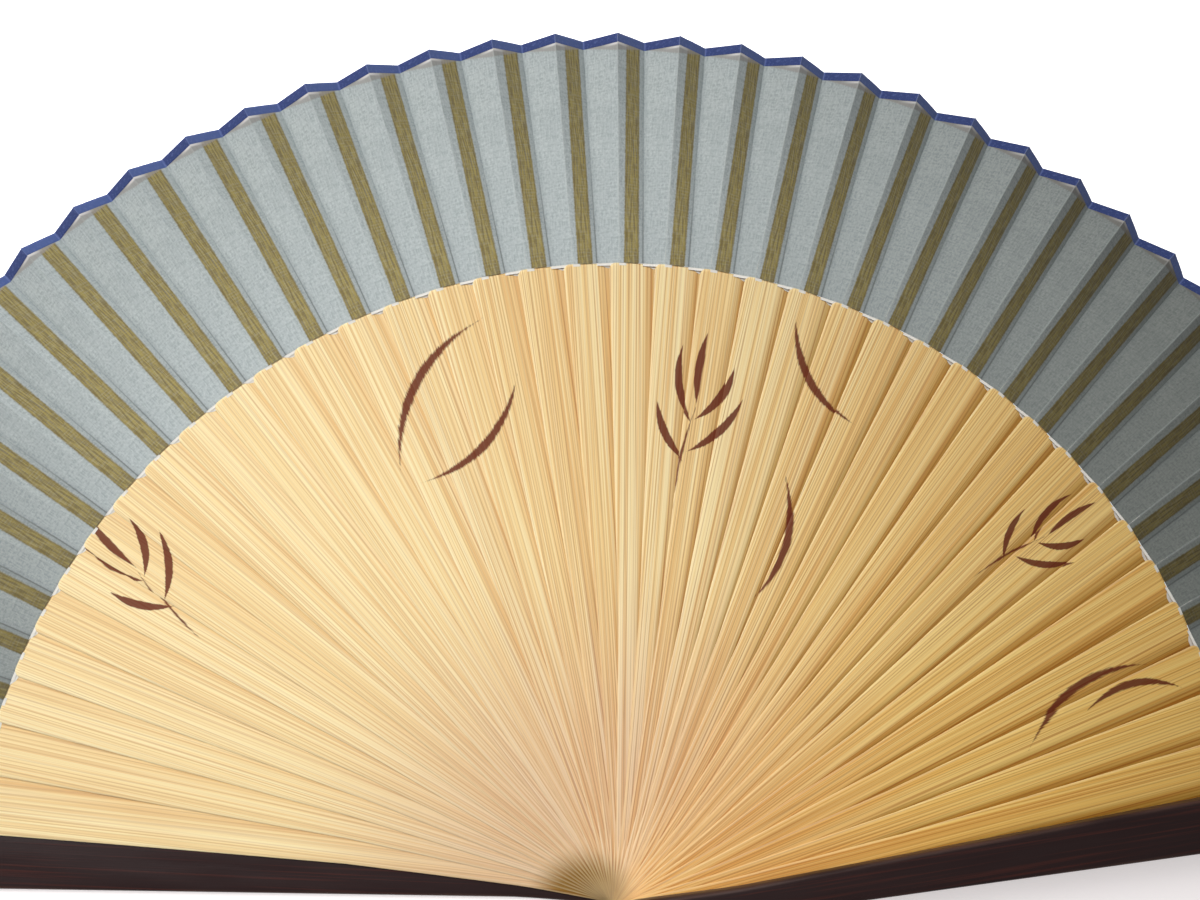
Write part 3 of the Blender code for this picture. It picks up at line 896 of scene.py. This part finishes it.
    def face(self, upper: bool, recessed: bool) -> tuple[Array, Array, Array, Array]:
        """One face of the blade with its hole.

        The eye is a set of rings: circles round the pin, then rings drawn in from the outline towards the pin.
        The blade is a grid whose columns carry on from the cut line to the head.

        Args:
            upper: whether the face is the upper one.
            recessed: whether the pin head's recess is cut into it.

        Returns:
            Points (along, across, up), quads facing up, the outer loop and the hole's loop.
        """
        outline = self.eye_outline()
        count = len(outline)
        reach = np.linalg.norm(outline, axis=-1)
        unit = outline / reach[:, None]
        sign = 1.0 if upper else -1.0
        flat = sign * self.thickness / 2
        circles = [(self.hole, flat - sign * self.hole_edge), (self.hole + self.hole_edge, flat)]
        if recessed:
            floor = flat - sign * self.recess_depth
            circles = [(self.hole, floor), (self.recess - self.recess_edge, floor),
                       (self.recess, floor + sign * self.recess_edge),
                       (self.recess, flat - sign * self.recess_lip), (self.recess + self.recess_lip, flat)]
        rings = [np.column_stack([unit * radius, np.full(count, height)]) for radius, height in circles]
        steps = np.array(self.edge_shares)[::-1] * self.edge_run
        last_circle = circles[-1][0]
        inner = last_circle + (reach - self.edge_run - last_circle) * 0.5
        for radius in [inner] + [reach - step for step in steps]:
            ring = unit * np.maximum(radius, last_circle + 0.02)[:, None]
            rings.append(np.column_stack([ring, self.face_height(ring[:, 0], ring[:, 1], upper)]))
        annulus = np.stack(rings)
        index = np.arange(annulus.shape[0] * count).reshape(-1, count)
        start = self.corner_centre[0] - 2.0
        rows = np.linspace(self.cut, start, int((start - self.cut) / self.row_step) + 1)[1:]
        across = self.columns(self.half_width(rows))
        edge = self.columns(self.half_width(np.array(self.corner_centre[0])))
        head_along = self.head_line(edge)[None, :] - (np.array(self.head_shares) * self.head_run)[:, None]
        along = np.vstack([np.broadcast_to(rows[:, None], across.shape), head_along])
        across = np.vstack([across, np.broadcast_to(edge, head_along.shape)])
        blade = np.stack([along, across, self.face_height(along, across, upper)], axis=-1)
        width = blade.shape[1]
        blade_index = index.size + np.arange(blade.shape[0] * width).reshape(-1, width)
        blade_index = np.vstack([index[-1, :width], blade_index])
        quads = np.vstack([grid_quads(index, closed=True), grid_quads(blade_index)])
        loop = np.concatenate([blade_index[:-1, 0], blade_index[-1], blade_index[-2::-1, -1], index[-1, width:]])
        return np.vstack([annulus.reshape(-1, 3), blade.reshape(-1, 3)]), quads, loop, index[0]

    def shell(self, recess: Side) -> Shell:
        """The whole blade as a closed shell, along +X.

        Args:
            recess: the face that carries the pin head's recess.

        Returns:
            The shell, with the marks edge (distance from the nearest edge) and upper (1 on the upper face).
        """
        upper, upper_quads, upper_loop, upper_hole = self.face(True, recess is Side.UPPER)
        lower, lower_quads, lower_loop, lower_hole = self.face(False, recess is Side.LOWER)
        shift = len(upper)
        quads = np.vstack([upper_quads, lower_quads[:, ::-1] + shift, wall_quads(upper_loop, lower_loop + shift),
                           wall_quads(upper_hole, lower_hole + shift)[:, ::-1]])
        points = np.vstack([upper, lower])
        marks = {"edge": np.min(self.edge_distance(points[:, 0], points[:, 1]), axis=0),
                 "upper": (np.arange(len(points)) < shift).astype(float)}
        return Shell(points, quads, points[:, :2].copy(), marks=marks)


@dataclass(frozen=True)
class TipForm:
    """Thin strip that runs on from a rib's blade under the cloth."""

    root: float = 145.0
    shoulder: float = 151.0
    end: float = 203.4
    root_width: float = 3.5
    end_width: float = 3.2
    thickness: float = 0.11
    rows: int = 20
    columns: int = 7


@dataclass(frozen=True)
class Ribs:
    """The 38 bamboo ribs: a blade that turns about its own length towards the shoulder, and a twisted tip."""

    plan: FanPlan
    form: StickForm = StickForm(
        tail=9.0, eye=6.8, stations=((26.0, 4.9), (66.0, 4.9), (151.0, 10.6)), reach=151.0, corner=1.7,
        thickness=0.42, edge_run=1.25, upper_drop=0.30, lower_drop=0.07, head_run=0.7, crown=0.05)
    tip: TipForm = TipForm()
    twist_start: float = 18.0
    tucks: tuple[Pair, ...] = ((26.0, 0.0), (66.0, 0.5), (149.0, 1.5))
    left_tucks: tuple[float, ...] = (0.0, 2.8, 1.0)
    right_tucks: tuple[float, ...] = (*(0.9,) * 7, 1.6)
    sway: float = 1.5
    sway_end: Pair = (12.0, 16.0)
    more_sway: tuple[float, ...] = (0.0, 1.5, 0.8, 0.3)
    no_edge: float = 9.0
    tone_seed: int = 7
    chart_step: Pair = (311.0, 23.0)

    def tucked(self, stick: int, points: Array) -> Array:
        """Widen the right half of a blade, so that its right edge runs on under the next stick.

        Right of the middle line each point moves out by across/half width·tuck, and the tuck grows straight from
        one (distance, tuck) pair to the next; the first ribs and those in the widest gaps reach further.

        Args:
            stick: number of the rib.
            points: points (along, across, up) of the blade.

        Returns:
            The widened points.
        """
        along, across = points[:, 0], points[:, 1]
        beyond = np.zeros(self.plan.last)
        beyond[:len(self.left_tucks)], beyond[-len(self.right_tucks):] = self.left_tucks, self.right_tucks
        grown = np.interp(along, *zip(*self.tucks)) + beyond[stick] * np.maximum(along, 0) / self.tip.shoulder
        wider = across - grown * np.clip(-across / self.form.half_width(along), 0, 1)
        return np.column_stack([along, wider, points[:, 2]])

    def swayed(self, stick: int, points: Array) -> Array:
        """Bend a blade a little to its left, as the ribs near the left guard lie.

        The bend is sway·(along/shoulder)^1.5 past the pin, none past sway_end and more for the first three ribs,
        so that they reach over the guard's edge; a tip isn't bent.

        Args:
            stick: number of the rib.
            points: points (along, across, up) of the blade.

        Returns:
            The bent points.
        """
        start, end = self.sway_end
        share = 1.0 - smooth((stick - start) / (end - start))
        bend = (self.sway + sum(self.more_sway[stick:stick + 1])) * share
        along = np.maximum(points[:, 0], 0.0)
        return points + np.array([0.0, 1.0, 0.0]) * (bend * (along / self.tip.shoulder) ** 1.5)[:, None]

    def slope(self, stick: int, along: Array) -> Array:
        """Cross slope of a rib at distances from the pin.

        It eases by 3t² − 2t³ from level near the pin to the shoulder's slope; past the shoulder the pleat's two
        folds are straight lines, so the slope is the straight mix of distance·slope at both ends over distance.

        Args:
            stick: number of the rib.
            along: distances from the pin.

        Returns:
            Slopes; the left edge is the higher one.
        """
        shoulder, rim = self.plan.shoulder_slope(stick), self.plan.rim_slope(stick)
        blade = shoulder * smooth((along - self.twist_start) / (self.tip.shoulder - self.twist_start))
        share = (along - self.tip.shoulder) / (Leaf.outer - self.tip.shoulder)
        pleat = blend_of(self.tip.shoulder * shoulder, Leaf.outer * rim, share) / np.maximum(along, 1.0)
        return np.where(along < self.tip.shoulder, blade, pleat)

    def tip_shell(self) -> Shell:
        """The tip: a closed flat strip along +X whose width tapers evenly and whose long edges are thin."""
        tip = self.tip
        along = np.linspace(tip.root, tip.end, tip.rows)[:, None]
        share = np.clip((along - tip.shoulder) / (tip.end - tip.shoulder), 0, 1)
        side = np.linspace(-0.5, 0.5, tip.columns)[None, :]
        across = side * blend_of(tip.root_width, tip.end_width, share)
        along = np.broadcast_to(along, across.shape)
        thin = tip.thickness / 2 * (1 - 0.6 * (2 * side) ** 4) * np.ones_like(across)
        top, bottom = (np.stack([along, across, sign * thin], axis=-1) for sign in (1, -1))
        edge = (0.5 - np.abs(side)) * tip.root_width * np.ones_like(across)
        return slab(top, bottom, top[..., :2], {"edge": edge + 2.0, "upper": np.zeros_like(across)})

    def build(self, material: Material) -> list[Object]:
        """Make every rib and let it ride on its own body.

        Args:
            material: the bamboo.

        Returns:
            The ribs, from left to right.
        """
        blade = self.form.shell(Side.NONE)
        whole, count = Shell.joined([blade, self.tip_shell()]), len(blade.points)
        along, across = whole.points[:, 0], whole.points[:, 1]
        tones = np.random.default_rng(self.tone_seed).random(self.plan.count)
        pieces = []
        for stick in range(1, self.plan.last):
            points = whole.points.copy()
            points[:count] = self.tucked(stick, points[:count])
            points[:, 2] += points[:, 1] * self.slope(stick, points[:, 0])
            points[:count] = self.swayed(stick, points[:count])
            # One mark holds the rib's place from left to right, which the bamboo uses for painted light and shade
            # across the fan.
            marks = {"tone": np.full(len(points), tones[stick]), "upper": whole.marks["upper"],
                     "along": np.abs(along), "age": np.full(len(points), stick / self.plan.last),
                     "left_edge": np.where(across > 0, whole.marks["edge"], self.no_edge),
                     "rightward": -across / self.form.half_width(along)}
            chart = whole.chart + np.array(self.chart_step) * stick
            shell = Shell(self.plan.placed(stick, points), whole.quads, chart, whole.triangles, marks)
            name = self.plan.body(stick)
            piece = make_piece(f"bamboo_{name}", shell, material)
            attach(piece, name)
            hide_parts(name)
            pieces.append(piece)
        log.info("ribs: %d bamboo ribs, %d points each", len(pieces), count)
        return pieces


@dataclass(frozen=True)
class Tabs:
    """The lining's tabs: a thin plate on the right corner of each rib's head, under the next rib's corner."""

    ribs: Ribs
    outer: float = 151.6
    width: float = 0.3
    reach: float = 1.6
    start: float = 2.4
    ease: float = 3.2
    end: float = 7.6
    lift: float = 0.02
    thickness: float = 0.04
    rows: int = 5
    columns: int = 11

    def shell(self, stick: int) -> Shell:
        """One tab on its rib.

        Its inner edge is outer − width − reach·(3t² − 2t³), where t grows from start to the right over ease.

        Args:
            stick: number of the rib.

        Returns:
            The closed tab in the fan's frame.
        """
        plan, form = self.ribs.plan, self.ribs.form
        across = -np.linspace(self.end, self.start, self.columns)
        inner = self.outer - self.width - self.reach * smooth((-across - self.start) / self.ease)
        along = blend_of(inner[None, :], self.outer, np.linspace(0, 1, self.rows)[:, None])
        across = np.broadcast_to(across, along.shape)
        level = form.thickness / 2 + self.lift + across * plan.shoulder_slope(stick)
        flat = np.stack([along, across, level], axis=-1)
        bottom = self.ribs.swayed(stick, flat.reshape(-1, 3)).reshape(flat.shape)
        top = bottom + (0.0, 0.0, self.thickness)
        return slab(plan.placed(stick, top), plan.placed(stick, bottom), flat[..., :2], {})

    def build(self, material: Material) -> list[Object]:
        """Make the tabs of all ribs but the last, each riding on its rib.

        Args:
            material: the lining paper.

        Returns:
            The tabs, from left to right.
        """
        pieces = []
        for stick in range(1, self.ribs.plan.last - 1):
            piece = make_piece(f"lining_tab_{stick:02d}", self.shell(stick), material)
            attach(piece, self.ribs.plan.body(stick))
            pieces.append(piece)
        log.info("tabs: %d", len(pieces))
        return pieces


@dataclass(frozen=True)
class Guards:
    """The two thick lacquered sticks outside the pile."""

    plan: FanPlan
    form: StickForm = StickForm(
        tail=9.6, eye=8.2, stations=((26.0, 6.9), (151.0, 13.6), (207.0, 14.4)), reach=207.0, corner=4.4,
        thickness=3.0, edge_run=1.0, upper_drop=0.85, lower_drop=0.85, head_run=1.0, crown=0.06)
    chart_step: Pair = (40.0, 3.0)

    def build(self, material: Material) -> list[Object]:
        """Make both guards, each with its recess on the outer face.

        Args:
            material: the lacquer.

        Returns:
            The left guard and the right guard.
        """
        pieces = []
        for stick, recess in ((0, Side.LOWER), (self.plan.last, Side.UPPER)):
            shell = self.form.shell(recess)
            shell.points = self.plan.placed(stick, shell.points)
            shell.chart = shell.chart + np.array(self.chart_step) * stick
            name = self.plan.body(stick)
            piece = make_piece(f"lacquered_{name}", shell, material)
            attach(piece, name)
            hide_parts(name)
            pieces.append(piece)
            log.info("guard: %s, %d points", name, len(shell.points))
        return pieces


@dataclass(frozen=True)
class Pin:
    """The turned pin: a shaft through the pile with a low head let flush into each guard."""

    plan: FanPlan
    shaft: float = 1.25
    head: float = 2.5
    head_height: float = 1.0
    head_edge: float = 0.3
    dimple: float = 0.12
    facets: int = 64

    def profile(self, top: float) -> Array:
        """Radius and height from the upper pole to the lower one.

        A head's face is dished by dimple·(1 − (r/rim)²), its edge is a quarter circle, and the shaft is straight.

        Args:
            top: height of the pile.

        Returns:
            One row of radius and height for each ring.
        """
        rim = self.head - self.head_edge
        face = np.linspace(0.0, rim, 9)
        dish = np.column_stack([face, top - self.dimple * (1 - (face / rim) ** 2)])
        angles = np.linspace(0, math.pi / 2, 7)[1:]
        edge = np.column_stack([rim + self.head_edge * np.sin(angles), top - self.head_edge * (1 - np.cos(angles))])
        neck = np.array([(self.head, top - self.head_height), (self.shaft, top - self.head_height)])
        upper = np.vstack([dish, edge, neck])
        return np.vstack([upper, upper[::-1] * (1, -1) + (0, top)])

    def build(self, material: Material) -> Object:
        """Turn the profile about the pin's axis, with a pole at each end.

        Args:
            material: the resin.

        Returns:
            The pin.
        """
        low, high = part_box("pivot_pin")
        profile = self.profile(high.z / MM)
        angles = np.linspace(0, 2 * math.pi, self.facets, endpoint=False)
        rings = profile[1:-1]
        turned = np.stack([rings[:, :1] * np.cos(angles), rings[:, :1] * np.sin(angles),
                           np.broadcast_to(rings[:, 1:], (len(rings), self.facets))], axis=-1)
        points = np.vstack([turned.reshape(-1, 3), (0, 0, profile[0, 1]), (0, 0, profile[-1, 1])])
        index = np.arange(len(rings) * self.facets).reshape(-1, self.facets)
        first, last = index[0], index[-1]
        caps = np.vstack([np.column_stack([np.full(self.facets, len(points) - 2), first, np.roll(first, -1)]),
                          np.column_stack([np.full(self.facets, len(points) - 1), np.roll(last, -1), last])])
        shell = Shell(points, grid_quads(index, closed=True), points[:, :2].copy(), caps)
        piece = make_piece("turned_pivot_pin", shell, material, 50.0)
        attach(piece, "guard_left")
        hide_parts("pivot_pin")
        log.info("pin: %.2f to %.2f mm high", low.z / MM, high.z / MM)
        return piece


# Leaf

class Line(Enum):
    """A fold line of the leaf, or the edge that is pasted to a guard."""

    CREST = "crest"
    VALLEY = "valley"
    PASTED = "pasted"


class Layer(Enum):
    """One of the leaf's layers."""

    CLOTH = "cloth"
    TAPE = "tape"
    LINING = "lining"


@dataclass(frozen=True)
class Leaf:
    """The pleated leaf: cloth, binding tape round its outer edge, and lining paper at its inner edge.

    Fold i is the panel that rises from the valley of stick i − 1 to the crest of stick i, and the panel that
    falls from there over the stick's tip to its valley. Every fold line is straight, so a panel is the straight
    mix of its two fold lines.
    """

    plan: FanPlan
    inner: float = 151.0
    outer: float = 205.0
    crest_shares: Pair = (0.27, 0.285)
    valley_shares: Pair = (0.255, 0.215)
    rest_height: float = 0.10
    inner_lift: float = 0.15
    inner_run: float = 6.0
    cloth: float = 0.07
    fold_depth: float = 0.32
    tape_width: float = 1.85
    tape_over: float = 0.25
    tape: float = 0.05
    tape_start: Pair = (0.35, 0.85)
    tape_end: Pair = (0.8, 0.3)
    lining_show: float = 0.65
    lining_width: float = 3.6
    lining_share: float = 0.30
    lining: float = 0.05
    lining_gap: float = 0.005
    tip_relief: float = 0.07
    tip_half: float = 1.7
    crest_drops: Pair = (0.05, 0.01)
    pasted_half: float = 6.5
    panel_columns: int = 25
    guard_rest: Pair = (3.05, 25.03)
    margin: float = 0.05
    no_tip: float = 9.0
    crease: float = 30.0

    def base(self, stick: int) -> float:
        """Height of the cloth's underside on a stick's middle line."""
        if self.plan.is_guard(stick):
            return self.guard_rest[stick > 0]
        return self.plan.level(stick) + self.rest_height

    def line_end(self, stick: int, line: Line, outer: bool) -> Array:
        """One end of a fold line.

        A crest lies left of its stick by a share of the gap before it, a valley lies right of it by a share of
        the gap after it, and both stand off the middle line's height by offset·slope.

        Args:
            stick: number of the stick.
            line: which line.
            outer: whether the end is the one at the leaf's outer edge.

        Returns:
            The end's point in the fan's frame.
        """
        radius = self.outer if outer else self.inner
        if line is Line.CREST:
            offset = -self.crest_shares[outer] * self.plan.gap(stick - 1)
        elif line is Line.VALLEY:
            offset = self.valley_shares[outer] * self.plan.gap(stick)
        else:
            offset = (self.pasted_half if stick else -self.pasted_half) / radius
        slope = self.plan.rim_slope(stick) if outer else self.plan.shoulder_slope(stick)
        angle = self.plan.direction(stick) - offset
        height = self.base(stick) - offset * radius * slope
        return np.array([radius * math.cos(angle), radius * math.sin(angle), height])

    def fold_line(self, stick: int, line: Line, radii: Array) -> Array:
        """Points of a fold line: the straight mix of its ends, lifted over the rib's head near the inner edge.

        Args:
            stick: number of the stick.
            line: which line.
            radii: distances from the pin.

        Returns:
            One point for each radius.
        """
        share = ((radii - self.inner) / (self.outer - self.inner))[:, None]
        points = blend_of(self.line_end(stick, line, False), self.line_end(stick, line, True), share)
        if not self.plan.is_guard(stick):
            points[:, 2] += self.inner_lift * (1 - smooth((radii - self.inner) / self.inner_run))
        return points

    def last_line(self, stick: int) -> Line:
        """The line at which the panel over a stick ends."""
        return Line.PASTED if stick == self.plan.last else Line.VALLEY

    def radii(self, layer: Layer) -> Array:
        """Distances from the pin of a layer's rows."""
        if layer is Layer.TAPE:
            start, end = self.outer - self.tape_width, self.outer + self.tape_over
            return np.concatenate([[start, start + 0.06], np.linspace(start + 0.2, end - 0.2, 5), [end - 0.06, end]])
        if layer is Layer.LINING:
            return np.linspace(self.inner - self.lining_show, self.inner + self.lining_width, 7)
        near = self.inner + np.array([0.0, 0.1, 0.4, 1.0, 2.0, 3.5, 5.5, 8.0])
        return np.concatenate([near, np.linspace(self.inner + 11.0, self.outer, 14)])

    def offset_of(self, stick: int, points: Array) -> Array:
        """Distance of points to the right of a stick's middle line."""
        angle = self.plan.direction(stick)
        return points[..., 0] * math.sin(angle) - points[..., 1] * math.cos(angle)

    def falling_panel(self, stick: int, layer: Layer, radii: Array) -> tuple[Array, Array]:
        """The panel over a stick, from its crest to its valley.

        A share u of each point comes from the valley and 1 − u from the crest. The cloth rises by tip_relief
        over the tip, and its crest is rounded over the first third of a millimetre.

        Args:
            stick: number of the stick.
            layer: which layer.
            radii: distances of the rows from the pin.

        Returns:
            Undersides of the cloth as rows, columns and coordinates, and the shares.
        """
        left = self.fold_line(stick, Line.CREST if stick else Line.PASTED, radii)
        right = self.fold_line(stick, self.last_line(stick), radii)
        shares = np.concatenate([[0.0, 0.02, 0.05], np.linspace(0.09, 1.0, self.panel_columns - 3)])
        if layer is Layer.LINING and not self.plan.is_guard(stick):
            shares = shares * self.lining_share
        panel = blend_of(left[:, None, :], right[:, None, :], shares[None, :, None])
        if not self.plan.is_guard(stick):
            offset = np.abs(self.offset_of(stick, panel))
            panel[..., 2] += self.tip_relief * smooth((self.tip_half + 0.35 - offset) / 0.6)
            if layer is Layer.CLOTH:
                panel[:, :2, 2] -= self.crest_drops
        return panel, shares

    def crossing(self, stick: int) -> float:
        """Parameter t at which the frame's turning share, 3t² − 2t³, takes a valley along with the stick before.

        Args:
            stick: number of the fold.

        Returns:
            The parameter from 0 to 1.
        """
        share = self.plan.turn(stick - 1) / self.plan.turn(stick)
        return 0.5 - math.sin(math.asin(1 - 2 * share) / 3)

    def attach(self, piece: Object, stick: int) -> None:
        """Attach the first fold to the left guard's body, and bake any other fold's placement into its mesh.

        Args:
            piece: the fold's mesh object.
            stick: number of the fold.
        """
        if stick == 0:
            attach(piece, self.plan.body(0))
            return
        ends = self.fold_line(stick - 1, Line.VALLEY, np.array([self.inner, self.outer]))[:, :2]
        inner_crest = self.fold_line(stick, Line.CREST, np.array([self.inner - self.lining_width]))[0, :2]
        crossing = self.crossing(stick)
        self.plan.body(0)
        self.plan.body(stick)
        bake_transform(piece)

    def fold_points(self, stick: int, layer: Layer) -> tuple[Array, Array, dict[str, Array]]:
        """Undersides of a whole fold at the cloth's own height.

        Args:
            stick: number of the fold.
            layer: which layer.

        Returns:
            Points as rows, columns and coordinates; the chart; and the marks.
        """
        radii = self.radii(layer)
        panel, shares = self.falling_panel(stick, layer, radii)
        offset = self.offset_of(stick, panel)
        from_crest = np.linalg.norm(panel - panel[:, :1], axis=-1)
        from_valley = np.linalg.norm(panel - self.fold_line(stick, self.last_line(stick), radii)[:, None], axis=-1)
        marks = {"offset": offset, "crest": from_crest, "valley": from_valley, "peak": 1 - shares + 0 * offset,
                 "side": np.zeros_like(offset)}
        if self.plan.is_guard(stick):
            marks["offset"] = offset * 0 + self.no_tip
        chart = np.stack([from_crest, radii[:, None] + 0 * from_crest], axis=-1)
        if stick > 0:
            before = self.fold_line(stick - 1, Line.VALLEY, radii)
            before[:, 2] += self.cloth / math.cos(math.atan(self.plan.rim_slope(stick - 1)))
            under = panel[:, 0] - (0, 0, self.fold_depth)
            length = np.linalg.norm(under - before, axis=-1)
            panel = np.concatenate([np.stack([before, under], axis=1), panel], axis=1)
            zero = np.zeros_like(length)
            ahead = {"offset": (zero + self.no_tip,) * 2, "crest": (length, zero), "valley": (zero, length),
                     "peak": (zero, zero + 1), "side": (zero + 1,) * 2}
            marks = {name: np.column_stack([*ahead[name], value]) for name, value in marks.items()}
            rising_chart = np.stack([np.column_stack([-length, zero]), np.column_stack([radii, radii])], axis=-1)
            chart = np.concatenate([rising_chart, chart], axis=1)
        marks["radius"] = radii[:, None] + 0 * chart[..., 0]
        # This mark holds the fold's place from left to right, which the cloth uses for painted shade towards both
        # ends.
        marks["age"] = 0 * chart[..., 0] + stick / self.plan.last
        return panel, chart, marks

    def fold(self, stick: int, layer: Layer, material: Material) -> Object:
        """One fold of one layer as its own closed piece.

        The cloth lies on the underside's height with its own thickness above it, the tape holds the cloth's edge
        between an upper and a lower side, and the lining lies just below the cloth.

        Args:
            stick: number of the fold.
            layer: which layer.
            material: the layer's finish.

        Returns:
            The piece.
        """
        panel, chart, marks = self.fold_points(stick, layer)
        up = np.array([0.0, 0.0, 1.0]) / math.cos(math.atan(self.plan.rim_slope(stick)))
        lifts = {Layer.CLOTH: (self.cloth, 0.0), Layer.TAPE: (self.cloth + self.tape, -self.tape),
                 Layer.LINING: (-self.lining_gap, -self.lining)}[layer]
        raised, lowered = (np.full(panel.shape[:2], lift) for lift in lifts)
        if layer is Layer.TAPE:
            ends = np.array([*self.tape_start, *[1.0] * (panel.shape[0] - 4), *self.tape_end])[:, None]
            raised, lowered = (self.cloth / 2 + (lift - self.cloth / 2) * ends for lift in (raised, lowered))
        top, bottom = panel + raised[..., None] * up, panel + lowered[..., None] * up
        if stick > 0:
            angle = self.plan.direction(stick)
            right = np.array([math.sin(angle), -math.cos(angle), 0.0])
            bottom[:, 1:3] += right * (raised - lowered)[:, 1:3, None]
        turned = {key: value[:, ::-1] for key, value in marks.items()}
        shell = slab(top[:, ::-1], bottom[:, ::-1], chart[:, ::-1], turned)
        piece = make_piece(f"{layer.value}_fold_{stick:02d}", shell, material, self.crease)
        self.attach(piece, stick)
        return piece

    def cut_size(self, stick: int) -> tuple[float, float, float]:
        """Width, length and area of a fold's cloth before it was pleated, in metres and square metres.

        Args:
            stick: number of the fold.

        Returns:
            The widest part of the fold laid flat, its length from the inner to the outer edge, and its area.
        """
        panel, _, _ = self.fold_points(stick, Layer.CLOTH)
        widths = np.linalg.norm(np.diff(panel, axis=1), axis=-1).sum(axis=1)
        area = float(np.sum((widths[1:] + widths[:-1]) / 2 * np.diff(self.radii(Layer.CLOTH))))
        length = self.outer - self.inner
        return float(widths.max()) * MM, length * MM, area * MM * MM

    def build(self, cloth: Material, tape: Material, paper: Material) -> list[Object]:
        """Args:
            cloth: the woven cloth.
            tape: the binding tape.
            paper: the lining paper.

        Returns:
            The cloth folds, from left to right.
        """
        layers = ((Layer.CLOTH, cloth, "leaf_cloth", "leaf_cloth"), (Layer.TAPE, tape, "edge_tape", "blue_tape"),
                  (Layer.LINING, paper, "inner_lining", "lining_paper"))
        folds = []
        for stick in range(self.plan.count):
            made = []
            for layer, material, node, slot in layers:
                piece = self.fold(stick, layer, material)
                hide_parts(node)
                made.append(piece)
            width, length, area = self.cut_size(stick)
            carriers = [self.plan.body(number) for number in (stick - 1, stick) if number >= 0]
            folds.append(made[0])
        log.info("leaf: %d folds of cloth, tape and lining", len(folds))
        return folds


# Studio

@dataclass(frozen=True)
class Studio:
    """Camera, lamps and floor."""

    camera_at: tuple[float, float, float] = (-0.04451, 0.09631, 0.32357)
    camera_turn: tuple[float, float, float] = (1.919, -7.243, -0.599)
    lens: float = 39.476
    sky: float = 0.14
    key: float = 0.745
    key_at: tuple[float, float, float] = (-0.29, 0.33, 0.55)
    key_to: tuple[float, float, float] = (-0.082, 0.072, 0.0)
    key_size: float = 0.45
    key_spread: float = 52.0
    sensor: float = 36.0
    clip: Pair = (0.01, 10.0)
    floor_size: float = 1.6
    floor_level: float = -0.02
    floor_depth: float = 2.0
    floor_near: Dye = dye(226, 221, 221)
    floor_far: Dye = dye(255, 255, 255)

    def link(self, name: str, data: bpy.types.ID, place: tuple[float, float, float]) -> Object:
        """Put a camera or a lamp into the scene.

        Args:
            name: the object's name.
            data: its camera or lamp data.
            place: where it stands, in metres.

        Returns:
            The new object.
        """
        obj = bpy.data.objects.new(name, data)
        obj.location = place
        bpy.context.scene.collection.objects.link(obj)
        return obj

    def lamp(self) -> None:
        """Hang a square soft lamp with a narrowed beam behind the fan's left half."""
        data = bpy.data.lights.new("key_lamp", "AREA")
        data.size, data.energy, data.spread = self.key_size, self.key, math.radians(self.key_spread)
        lamp = self.link("key_lamp", data, self.key_at)
        lamp.rotation_mode = "QUATERNION"
        lamp.rotation_quaternion = (Vector(self.key_to) - Vector(self.key_at)).to_track_quat("-Z", "Y")

    def camera(self) -> None:
        """Set the photo's camera."""
        data = bpy.data.cameras.new("photo_camera")
        data.lens, data.sensor_width, data.sensor_fit = self.lens, self.sensor, "HORIZONTAL"
        data.clip_start, data.clip_end = self.clip
        camera = self.link("photo_camera", data, self.camera_at)
        camera.rotation_euler = Euler([math.radians(angle) for angle in self.camera_turn], "XYZ")
        bpy.context.scene.camera = camera

    def floor(self) -> None:
        """Lay a pale floor under the fan, brighter to the camera so that it reads as white."""
        finish = Finish("pale_floor")
        _, up, _ = finish.parts(finish.place())
        tint = finish.tinted(self.floor_near, (up, 0.02, 0.10, 1.0, self.floor_far))
        path = finish.add("LightPath").outputs
        seen = finish.math("MAXIMUM", path["Is Camera Ray"], path["Is Transmission Ray"])
        glow = finish.weighed(path["Is Glossy Ray"], 0.3, seen)
        finish.feed(finish.shader.inputs["Emission Color"], tint)
        strength = finish.product(glow, finish.between(up, 0.0, 0.10, 0.64, 1.0))
        finish.feed(finish.shader.inputs["Emission Strength"], strength)
        line = np.linspace(-0.5, 0.5, 3) * self.floor_size / MM
        along, across = np.meshgrid(line, line, indexing="ij")
        top = np.stack([along, across, np.full_like(along, self.floor_level)], axis=-1)
        shell = slab(top, top - (0, 0, self.floor_depth), top[..., :2], {})
        floor = make_piece("studio_floor", shell, finish.surface(tint, 0.9, Specular_IOR_Level=0.1))

    def build(self) -> None:
        """Set the camera, the lamp, the sky and the floor."""
        scene = bpy.context.scene
        self.camera()
        self.lamp()
        world = bpy.data.worlds.new("studio_sky")
        world.use_nodes = True
        world.node_tree.nodes["Background"].inputs["Color"].default_value = (1.0, 1.0, 1.0, 1.0)
        world.node_tree.nodes["Background"].inputs["Strength"].default_value = self.sky
        scene.world = world
        scene.view_settings.view_transform = "Standard"
        self.floor()
        log.info("studio: camera, lamp and floor")


def main() -> None:
    """Build the fan's sub-assemblies in order."""
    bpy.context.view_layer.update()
    plan = FanPlan()
    Studio().build()
    Guards(plan).build(LacquerFinish().build())
    ribs, paper = Ribs(plan), PaperFinish().build()
    ribs.build(BambooFinish().build())
    Tabs(ribs).build(paper)
    Pin(plan).build(ResinFinish().build())
    Leaf(plan).build(ClothFinish().build(), TapeFinish().build(), paper)


if __name__ == "__main__":
    main()
